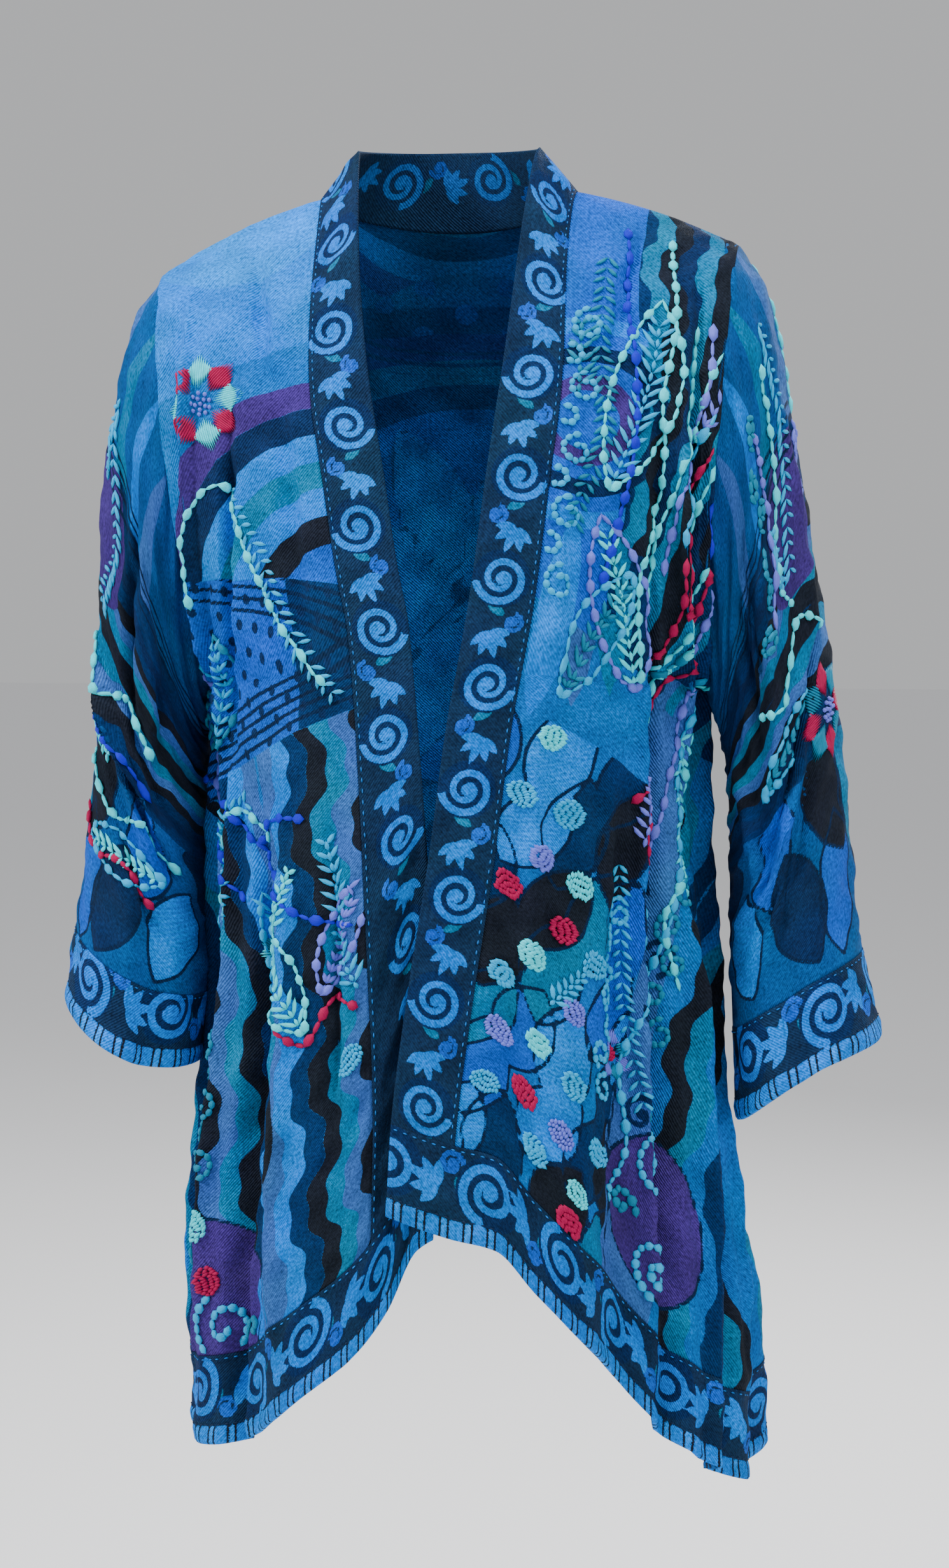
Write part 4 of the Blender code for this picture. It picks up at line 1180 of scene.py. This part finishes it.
def sew():
    """Make the gathered stitches, one mesh for each cloth and yarn."""
    shares, station, outline_points, shape_faces = spindle(STITCH_SIDES, STITCH_STATIONS)
    for (place, yarn), stitches in sorted(work.items()):
        cloth = cloths[place]
        data = np.array(stitches)
        data = data[on_cloth(cloth, data[:, 0], data[:, 1]) & on_cloth(cloth, data[:, 2], data[:, 3])]
        if not len(data):
            continue
        width = data[:, 4:5]
        height = data[:, 5:6]
        spine = []
        normals = []
        for share in shares:
            middle = mix(data[:, 0:2], data[:, 2:4], share)
            point, normal = spots(cloth, middle[:, 0], middle[:, 1])
            spine.append(point + normal * height * STITCH_LIFT)
            normals.append(normal)
        spine = np.stack(spine, axis=1)
        normals = np.stack(normals, axis=1)
        run = spine[:, -1] - spine[:, 0]
        side = unit(np.cross(normals, unit(run)[:, None]))
        beside = width * outline_points[:, 0]
        above = height * outline_points[:, 1]
        points = spine[:, station] + side[:, station] * beside[..., None]
        points = points + normals[:, station] * above[..., None]
        faces = shape_faces + (np.arange(len(data)) * len(station))[:, None, None]
        mesh = bpy.data.meshes.new("stitches")
        mesh.from_pydata(points.reshape(-1, 3).tolist(), [], faces.reshape(-1, 3).tolist())
        length = np.linalg.norm(run, axis=1, keepdims=True)
        along = length * shares[station] + rng.uniform(0.0, 1.0, (len(data), 1))
        across = beside + rng.uniform(0.0, 1.0, (len(data), 1))
        set_flat(mesh, along.ravel(), across.ravel())
        mesh.materials.append(yarns[yarn])
        finish_piece("embroidery_" + place + "_" + yarn, mesh)


def smooth_path(points, step):
    """Evenly spaced flat positions along a smooth curve through the points."""
    points = np.array(points, dtype=float)
    padded = np.concatenate([2 * points[:1] - points[1:2], points, 2 * points[-1:] - points[-2:-1]])
    t = np.linspace(0.0, 1.0, 24, endpoint=False)[:, None]
    fine = []
    for p0, p1, p2, p3 in zip(padded, padded[1:], padded[2:], padded[3:]):
        bend = (2 * p0 - 5 * p1 + 4 * p2 - p3) * t**2 + (3 * p1 - p0 - 3 * p2 + p3) * t**3
        fine.append(0.5 * (2 * p1 + (p2 - p0) * t + bend))
    fine = np.concatenate([*fine, points[-1:]])
    run = np.concatenate([[0.0], np.cumsum(np.linalg.norm(np.diff(fine, axis=0), axis=1))])
    at = np.linspace(0.0, run[-1], max(2, int(round(run[-1] / step)) + 1))
    return np.stack([np.interp(at, run, fine[:, 0]), np.interp(at, run, fine[:, 1])], axis=1)


def placed(start, degrees, along, side=0.0):
    """The flat position that lies along and beside a direction from a start."""
    angle = np.radians(degrees)
    u = start[0] + along * np.cos(angle) - side * np.sin(angle)
    v = start[1] + along * np.sin(angle) + side * np.cos(angle)
    return u, v


# Threads of the finer stitches and how they are spaced.
SATIN = 0.0019
PADDING = 0.003
FERN = 0.0036
KNOT = 0.0036
LINK_OVERLAP = 0.12
CHAIN_GAP = 0.014
CHAIN_SWAY = 0.006


def chain(place, yarn, points, link=0.0105, width=0.0056, beaded=True):
    """Chain stitch: links end to end, plump and thin in turn where it is beaded."""
    path = smooth_path(points, link)
    for i, (start, end) in enumerate(zip(path, path[1:])):
        swell = width * rng.uniform(0.8, 1.1)
        if beaded:
            swell = width * (rng.uniform(1.15, 1.45) if i % 2 == 0 else rng.uniform(0.5, 0.7))
        over = (end - start) * LINK_OVERLAP
        stitch(place, yarn, start - over, end + over, swell, 0.0012 + swell * 0.42)


def feather(place, yarn, points, spacing=0.008, reach=0.0115, slant=50.0, width=0.0032):
    """Small slanted thorns on both sides of a line."""
    path = smooth_path(points, spacing)
    for before, point in zip(path, path[1:]):
        heading = math.degrees(math.atan2(point[1] - before[1], point[0] - before[0]))
        for way in (-1, 1):
            turn = heading + way * (slant + rng.uniform(-8.0, 8.0))
            length = reach * rng.uniform(0.8, 1.15)
            stitch(place, yarn, point, placed(point, turn, length), width)


def running(place, yarn, points, dash, gap, width):
    """A running stitch: dashes along a line."""
    path = smooth_path(points, dash + gap)
    for start, end in zip(path, path[1:]):
        stitch(place, yarn, start, mix(start, end, dash / (dash + gap)), width)


def satin_petal(place, yarn, foot, length, width, degrees):
    """A pointed petal of side-by-side stitches along its length."""
    stitches = max(5, int(round(width / (SATIN * 0.8))))
    for i in range(stitches):
        across = (i / (stitches - 1) - 0.5) * 2.0
        inset = abs(across) ** 1.3 * length * 0.42
        near = inset + rng.uniform(0.0, 0.0006)
        far = length - inset - rng.uniform(0.0, 0.0006)
        start, end = (placed(foot, degrees, along, across * width / 2) for along in (near, far))
        stitch(place, yarn, start, end, SATIN, SATIN * 1.15)


def knots(place, yarn, centre, radius):
    """A small round field of knots."""
    for ring_radius, count in ((0.0, 1), (radius * 0.55, 5), (radius, 9)):
        for i in range(count):
            u, v = placed(centre, 360.0 * i / count + math.degrees(ring_radius * 300.0), ring_radius)
            stitch(place, yarn, (u - KNOT / 2, v), (u + KNOT / 2, v), KNOT, KNOT)


def rosette(place, centre, radius, petal, other, knot):
    """A flower of eight satin petals in two colours round a knotted centre."""
    for i in range(8):
        foot = placed(centre, 45.0 * i, radius * 0.24)
        satin_petal(place, (petal, other)[i % 2], foot, radius * 0.76, radius * 0.52, 45.0 * i)
    knots(place, knot, centre, radius * 0.2)


def pebble(place, yarn, centre, size, degrees):
    """A padded spot: rows of short plump stitches at uneven angles, with an uneven edge."""
    lines = int(round(size / (PADDING * 0.74)))
    for line in range(lines):
        side = ((line + 0.5) / lines - 0.5) * size
        room = math.sqrt(1.0 - (2.0 * side / size) ** 2) * size * rng.uniform(0.92, 1.1)
        count = max(1, int(round(room / (PADDING * 1.8))))
        reach = room / count * 0.62
        for i in range(count):
            along = ((i + 0.5) / count - 0.5) * room + rng.uniform(-0.0006, 0.0006)
            middle = placed(centre, degrees, along, side)
            lean = degrees + rng.uniform(-26.0, 26.0)
            stitch(place, yarn, placed(middle, lean, -reach), placed(middle, lean, reach), PADDING, PADDING)


def spiral_path(centre, radius, turns, start, way, inner=0.12):
    angle = np.linspace(0.0, turns * 360.0, int(turns * 14) + 2)
    r = mix(radius, radius * inner, angle / angle[-1])
    return np.stack(placed(centre, start + way * angle, r), axis=1)


def leaf_outline(place, yarn, vein, foot, length, width, degrees):
    """A leaf outlined in chain stitch, with a feathered vein."""
    t = np.linspace(0.0, 1.0, 9)
    for way in (-1, 1):
        side = way * width / 2 * np.sin(math.pi * t) ** 0.8
        chain(place, yarn, np.stack(placed(foot, degrees, t * length, side), axis=1), 0.01, 0.005)
    line = (foot, placed(foot, degrees, length * 0.86))
    running(place, vein, line, 0.008, 0.0008, 0.0032)
    feather(place, vein, line, 0.009, width * 0.34, 42.0, 0.0034)


def sprig(place, yarn, foot, length, degrees, pairs=6):
    """A fern sprig: a stem and pairs of stitches that shorten to its tip."""
    running(place, yarn, (foot, placed(foot, degrees, length)), 0.008, 0.0006, FERN)
    for i in range(pairs):
        share = (i + 0.7) / pairs
        fork = placed(foot, degrees, length * share)
        for way in (-1, 1):
            reach = length * 0.3 * (1.05 - 0.6 * share)
            stitch(place, yarn, fork, placed(fork, degrees + way * 46.0, reach), FERN)


def hanging_chains(place, u, start, end, colours):
    """Chains side by side that hang from one line."""
    for i, yarn in enumerate(colours):
        drop = (end - start) * (1.0 - 0.12 * (i % 3))
        sway = [CHAIN_SWAY * math.sin(k * 1.1 + i * 0.5) for k in range(5)]
        points = [(u + i * CHAIN_GAP + sway[k], start + drop * k / 4) for k in range(5)]
        chain(place, yarn, points, 0.0115, 0.0054)


# The layout, in millimetres and degrees: u from a front's band seam or a sleeve's top line, v upward from the
# hem border, and down from the armhole on a sleeve.

# Yarn, then u and v in turn along the line.
CHAINS = {
    "front_right": (
        ("aqua", 150, 560, 128, 620, 85, 630, 70, 570, 52, 515, 20, 480),
        ("aqua", 205, 300, 170, 330, 160, 380, 120, 395, 90, 370),
        ("ultramarine", 215, 420, 160, 405, 110, 370, 60, 310, 10, 285),
        ("ultramarine", 160, 405, 170, 360, 140, 330), ("ultramarine", 110, 370, 80, 385, 45, 380),
        ("lavender", 195, 520, 185, 460, 200, 400, 190, 340), ("crimson", 10, 215, 35, 235, 60, 205, 85, 225),
        ("turquoise", 215, 620, 180, 500, 190, 440),
    ),
    "front_left": (
        ("aqua", 75, 795, 82, 730, 72, 665, 90, 600, 78, 530, 94, 460),
        ("ultramarine", 42, 800, 50, 700, 58, 600, 50, 520), ("aqua", 170, 560, 150, 480, 168, 410, 140, 350),
        ("lavender", 185, 590, 180, 500, 195, 420, 180, 340),
        ("crimson", 105, 370, 130, 390, 155, 350, 175, 310, 185, 250),
        ("turquoise", 215, 500, 200, 400, 210, 300, 195, 230),
        ("turquoise", 150, 300, 165, 240, 150, 180, 170, 120, 155, 60),
        ("lagoon", 185, 300, 205, 230, 190, 170, 210, 110), ("aqua", 200, 420, 225, 360, 205, 300, 228, 250),
    ),
    "sleeve_right": (
        ("aqua", -150, 250, -110, 235, -80, 262, -40, 240, 0, 262),
        ("aqua", -160, 345, -120, 330, -80, 352, -40, 332, 10, 350),
        ("crimson", -130, 395, -95, 378, -60, 392, -20, 372),
        ("ultramarine", -150, 300, -100, 285, -50, 310, 20, 300),
    ),
    "sleeve_left": (
        ("aqua", -150, 230, -110, 250, -70, 225, -30, 250), ("lavender", -120, 60, -100, 130, -120, 190),
        ("aqua", -80, 50, -75, 120, -90, 180, -70, 215),
    ),
    "back_panel": (
        ("aqua", -200, 100, -150, 180, -180, 270, -130, 350, -170, 440),
        ("aqua", 200, 120, 160, 200, 185, 290, 140, 370, 165, 460),
        ("ultramarine", -60, 60, -40, 140, -70, 210, -40, 290),
        ("lavender", 60, 50, 45, 130, 75, 200, 50, 280),
    ),
}
THORNED = {
    "front_right": (
        ("turquoise", 85, 636, 62, 570, 50, 518, 16, 474),
        ("turquoise", 205, 306, 166, 336, 156, 386, 118, 400),
    ),
    "front_left": (
        ("lagoon", 30, 780, 26, 700, 34, 630, 24, 560), ("turquoise", 110, 330, 130, 270, 150, 210, 175, 160),
        ("aqua", 225, 480, 205, 400, 215, 320),
    ),
    "sleeve_left": (
        ("turquoise", -60, 30, -55, 110, -70, 190),
    ),
    "sleeve_right": (
        ("turquoise", -60, 80, -90, 140, -70, 200),
    ),
    "back_panel": (
        ("turquoise", -206, 100, -156, 180, -186, 270, -136, 350),
        ("turquoise", 206, 120, 166, 200, 191, 290, 146, 370),
    ),
}
# Yarns of outline and vein, foot, length, width and direction.
LEAVES = {
    "front_left": (
        ("aqua", "turquoise", 46, 590, 150, 50, 80), ("lavender", "aqua", 92, 450, 130, 46, 112),
        ("crimson", "lavender", 146, 320, 85, 38, 96), ("turquoise", "lagoon", 30, 440, 105, 34, 66),
        ("aqua", "lavender", 120, 640, 95, 34, 70),
    ),
    "front_right": (
        ("aqua", "aqua", 60, 215, 115, 44, 62), ("lavender", "lavender", 45, 240, 90, 36, 118),
        ("turquoise", "turquoise", 120, 225, 110, 40, 88), ("lagoon", "turquoise", 150, 440, 95, 34, 100),
    ),
    "sleeve_right": (
        ("turquoise", "aqua", -140, 365, 95, 34, 12),
    ),
    "sleeve_left": (
        ("turquoise", "lagoon", -150, 300, 90, 32, -14),
    ),
    "back_panel": (
        ("aqua", "turquoise", -105, 110, 120, 42, 84), ("lavender", "aqua", 100, 120, 120, 42, 96),
        ("turquoise", "lagoon", -200, 470, 110, 38, 70), ("turquoise", "lagoon", 200, 480, 110, 38, 110),
    ),
}
# Yarn, foot, length and direction.
SPRIGS = {
    "front_right": (
        ("turquoise", 22, 290, 70, 84), ("turquoise", 8, 230, 60, 70), ("lagoon", 215, 500, 60, 250),
        ("aqua", 85, 300, 50, 120),
    ),
    "front_left": (
        ("lavender", 125, 340, 50, 100), ("turquoise", 60, 180, 50, 60), ("lagoon", 12, 660, 60, 90),
    ),
    "sleeve_right": (
        ("turquoise", -60, 70, 55, 80), ("aqua", -20, 300, 50, 160),
    ),
    "sleeve_left": (
        ("turquoise", -100, 140, 55, 70), ("lavender", -20, 120, 45, 96),
    ),
    "back_panel": (
        ("turquoise", -20, 130, 60, 90), ("lagoon", 220, 50, 55, 80), ("lagoon", -220, 50, 55, 100),
    ),
}
# Yarns of petals, other petals and knots, then centre and radius.
ROSETTES = {
    "front_right": (
        ("aqua", "crimson", "lavender", 86, 695, 38), ("aqua", "lagoon", "crimson", 130, 290, 18),
    ),
    "front_left": (
        ("lavender", "lagoon", "crimson", 140, 180, 22),
    ),
    "sleeve_left": (
        ("crimson", "lagoon", "lavender", -40, 305, 36),
    ),
    "sleeve_right": (
        ("aqua", "crimson", "lavender", 60, 180, 32),
    ),
    "back_panel": (
        ("aqua", "crimson", "lavender", 0, 470, 52), ("lavender", "lagoon", "aqua", -150, 640, 32),
        ("crimson", "lagoon", "aqua", 150, 640, 32),
    ),
}
# Yarn and centre.
PEBBLES = {
    "front_left": (
        ("aqua", 30, 405), ("turquoise", 14, 350), ("turquoise", 52, 345), ("lavender", 36, 300),
        ("aqua", 70, 290), ("crimson", 12, 262), ("crimson", 62, 248), ("turquoise", 92, 232),
        ("aqua", 40, 212), ("lavender", 80, 186), ("turquoise", 18, 176), ("lavender", 22, 122),
        ("aqua", 56, 140), ("turquoise", 90, 126), ("crimson", 50, 86), ("turquoise", 16, 68),
        ("lavender", 86, 78), ("turquoise", 66, 44), ("aqua", 108, 40), ("turquoise", 124, 86),
        ("crimson", 104, 10),
    ),
    "front_right": (
        ("crimson", 205, 55), ("aqua", 215, 95), ("turquoise", 20, 175),
    ),
    "back_panel": (
        ("aqua", -30, 40), ("crimson", 20, 60), ("turquoise", -120, 60), ("lavender", 130, 70),
        ("crimson", -160, 110), ("aqua", 165, 90), ("turquoise", 0, 330), ("lavender", -90, 330),
        ("crimson", 90, 340), ("aqua", -100, 570), ("turquoise", 110, 560), ("lavender", 0, 640),
    ),
    "sleeve_left": (
        ("turquoise", 50, 120), ("crimson", 100, 200), ("aqua", 140, 130), ("lavender", 90, 290),
    ),
    "sleeve_right": (
        ("turquoise", 120, 260), ("crimson", 90, 330), ("aqua", 150, 160), ("lavender", 50, 60),
    ),
}
# Yarn, centre, radius, turns, start and way round.
COUCHED = {
    "front_left": (
        ("turquoise", 205, 120, 26, 1.7, 90, 1), ("turquoise", 215, 45, 24, 1.6, 270, -1),
        ("lagoon", 175, 75, 14, 1.2, 0, 1),
    ),
    "front_right": (
        ("turquoise", 190, 20, 28, 1.7, 60, -1), ("lagoon", 150, 12, 16, 1.3, 200, 1),
        ("lagoon", 230, 75, 16, 1.3, 20, 1),
    ),
    "back_panel": (
        ("turquoise", -235, 45, 26, 1.7, 90, 1), ("turquoise", 235, 45, 26, 1.7, 90, -1),
        ("lagoon", -80, 720, 26, 1.7, 270, 1), ("lagoon", 80, 720, 26, 1.7, 270, -1),
    ),
}
# Yarn, u, the v of both ends, number of curls and their radius.
CURLS = {
    "front_left": (
        ("turquoise", 12, 730, 500, 9, 13), ("turquoise", 118, 300, 130, 7, 12),
        ("lagoon", 215, 330, 180, 6, 11.5),
    ),
    "front_right": (
        ("lagoon", 215, 260, 130, 6, 11.5),
    ),
    "sleeve_left": (
        ("lagoon", -130, 40, 200, 6, 11),
    ),
    "back_panel": (
        ("lagoon", -235, 150, 330, 8, 12), ("lagoon", 235, 150, 330, 8, 12),
    ),
}
# The u of the first chain, its two ends' v, and the yarns.
HANGING = {
    "front_left": (
        (98, 720, 520, "aqua", "lavender", "turquoise", "crimson", "aqua", "ultramarine"),
        (125, 560, 400, "crimson", "aqua", "lagoon", "crimson"),
    ),
    "back_panel": (
        (-100, 800, 600, "aqua", "lavender", "crimson"), (84, 800, 600, "crimson", "lavender", "aqua"),
    ),
    "sleeve_left": (
        (10, 20, 130, "aqua", "lavender", "crimson"),
    ),
}


def each(layout):
    """The rows of a layout, each with its place in front."""
    return [(place, *row) for place, rows_there in layout.items() for row in rows_there]


for stitched, layout in ((chain, CHAINS), (feather, THORNED)):
    for place, yarn, *route in each(layout):
        stitched(place, yarn, np.reshape(route, (-1, 2)) * MM)
for place, yarn, vein, u, v, length, width, degrees in each(LEAVES):
    leaf_outline(place, yarn, vein, (u * MM, v * MM), length * MM, width * MM, degrees)
for place, yarn, u, v, length, degrees in each(SPRIGS):
    sprig(place, yarn, (u * MM, v * MM), length * MM, degrees)
for place, petal, other, knot, u, v, radius in each(ROSETTES):
    rosette(place, (u * MM, v * MM), radius * MM, petal, other, knot)
for i, (place, yarn, u, v) in enumerate(each(PEBBLES)):
    pebble(place, yarn, (u * MM, v * MM), 0.0215 + 0.0015 * (i % 3), rng.uniform(0.0, 180.0))
for place, yarn, u, v, radius, turns, start, way in each(COUCHED):
    chain(place, yarn, spiral_path((u * MM, v * MM), radius * MM, turns, start, way), 0.008, 0.0068, False)
for place, yarn, u, start, end, count, radius in each(CURLS):
    for i in range(count):
        way = 1 if i % 2 == 0 else -1
        centre = ((u + way * radius * 0.45) * MM, mix(start, end, (i + 0.5) / count) * MM)
        curl = spiral_path(centre, radius * MM, 1.15, 90.0 * way, way, 0.35)
        chain(place, yarn, curl, 0.0064, 0.0052, False)
for place, u, start, end, *colours in each(HANGING):
    hanging_chains(place, u * MM, start * MM, end * MM, colours)

# Dashed stitching beside the seams of the bands and borders.
SEAM_INSET = 0.0028
SEAM_STITCH = (0.0034, 0.0036, 0.001)
ROLL_STITCH = (0.0036, 0.003, 0.001)
ROLL_SEAM = 0.0145
for place in ("front_band_left", "front_band_right"):
    band = cloths[place]
    v = np.linspace(0.004, band.length - 0.004, 40)
    seam = np.interp(v, band.v, band.u[:, -1]) - SEAM_INSET
    running(place, "sky", np.stack([seam, v], axis=1), *SEAM_STITCH)
for place in ("hem_border_left", "hem_border_right", "hem_border_back", "cuff_band_left", "cuff_band_right"):
    border = cloths[place]
    u = np.linspace(border.u[-1, 0] + 0.002, border.u[-1, -1] - 0.002, 41)
    seam, roll = (np.stack([u, np.full(len(u), v)], axis=1) for v in (border.length - SEAM_INSET, ROLL_SEAM))
    running(place, "sky", seam, *SEAM_STITCH)
    running(place, "ink", roll, *ROLL_STITCH)

sew()

# Floor, lights and camera.

FLOOR_Z = -1.42
FLOOR_REACH = 20.0
PALE = (0.93, 0.93, 0.94, 1.0)

mesh = bpy.data.meshes.new("floor")
corners = [(x * FLOOR_REACH, y * FLOOR_REACH, FLOOR_Z) for x, y in ((-1, -1), (1, -1), (1, 1), (-1, 1))]
mesh.from_pydata(corners, [], [(0, 1, 2, 3)])
mesh.materials.append(Paint("floor_paint", {"Base Color": PALE, "Roughness": 0.9}).material)
floor = bpy.data.objects.new("floor", mesh)
bpy.context.scene.collection.objects.link(floor)

world = bpy.data.worlds.new("studio")
world.use_nodes = True
world.node_tree.nodes["Background"].inputs["Color"].default_value = (0.93, 0.94, 0.96, 1.0)
world.node_tree.nodes["Background"].inputs["Strength"].default_value = 0.55
bpy.context.scene.world = world

CHEST = (0.0, 0.0, -0.42)
LIGHTS = (
    ("key", (-2.3, -1.2, 1.2), 0.6, 100.0),
    ("fill", (2.0, -2.0, 0.3), 1.2, 38.0),
    ("top", (0.3, -0.6, 2.0), 0.7, 60.0),
    ("behind", (0.9, 2.2, 0.9), 0.9, 65.0),
)


def aim(thing, target):
    gap = [t - p for t, p in zip(target, thing.location)]
    run = math.hypot(gap[0], gap[1])
    thing.rotation_euler = (math.atan2(run, -gap[2]), 0.0, math.atan2(gap[1], gap[0]) - math.pi / 2)


for name, place, size, watts in LIGHTS:
    lamp = bpy.data.lights.new(name, "AREA")
    lamp.size = size
    lamp.energy = watts
    holder = bpy.data.objects.new(name, lamp)
    holder.location = place
    bpy.context.scene.collection.objects.link(holder)
    aim(holder, CHEST)

# The camera. The photograph is 1491 by 2464 pixels, with about 2100 pixels to a metre at the jacket.
PHOTO_WIDTH = 1491
PHOTO_HEIGHT = 2464
PIXELS_PER_METRE = 2100.0
ORIGIN_PIXEL = (706.0, 320.0)
CAMERA_TURN = math.radians(8.0)
CAMERA_RISE = math.radians(5.0)
CAMERA_DISTANCE = 2.1
SENSOR = 24.0

aside = (PHOTO_WIDTH / 2 - ORIGIN_PIXEL[0]) / PIXELS_PER_METRE
below = (ORIGIN_PIXEL[1] - PHOTO_HEIGHT / 2) / PIXELS_PER_METRE
target = (aside * math.cos(CAMERA_TURN), aside * math.sin(CAMERA_TURN), below)
view = (
    -math.sin(CAMERA_TURN) * math.cos(CAMERA_RISE),
    math.cos(CAMERA_TURN) * math.cos(CAMERA_RISE),
    -math.sin(CAMERA_RISE),
)
lens = bpy.data.cameras.new("camera")
lens.sensor_fit = "VERTICAL"
lens.sensor_height = SENSOR
lens.lens = SENSOR * CAMERA_DISTANCE * PIXELS_PER_METRE / PHOTO_HEIGHT
camera = bpy.data.objects.new("camera", lens)
camera.location = tuple(t - CAMERA_DISTANCE * w for t, w in zip(target, view))
bpy.context.scene.collection.objects.link(camera)
aim(camera, target)
bpy.context.scene.camera = camera


def plain(box):
    return [[round(float(x), 5) for x in corner] for corner in box]
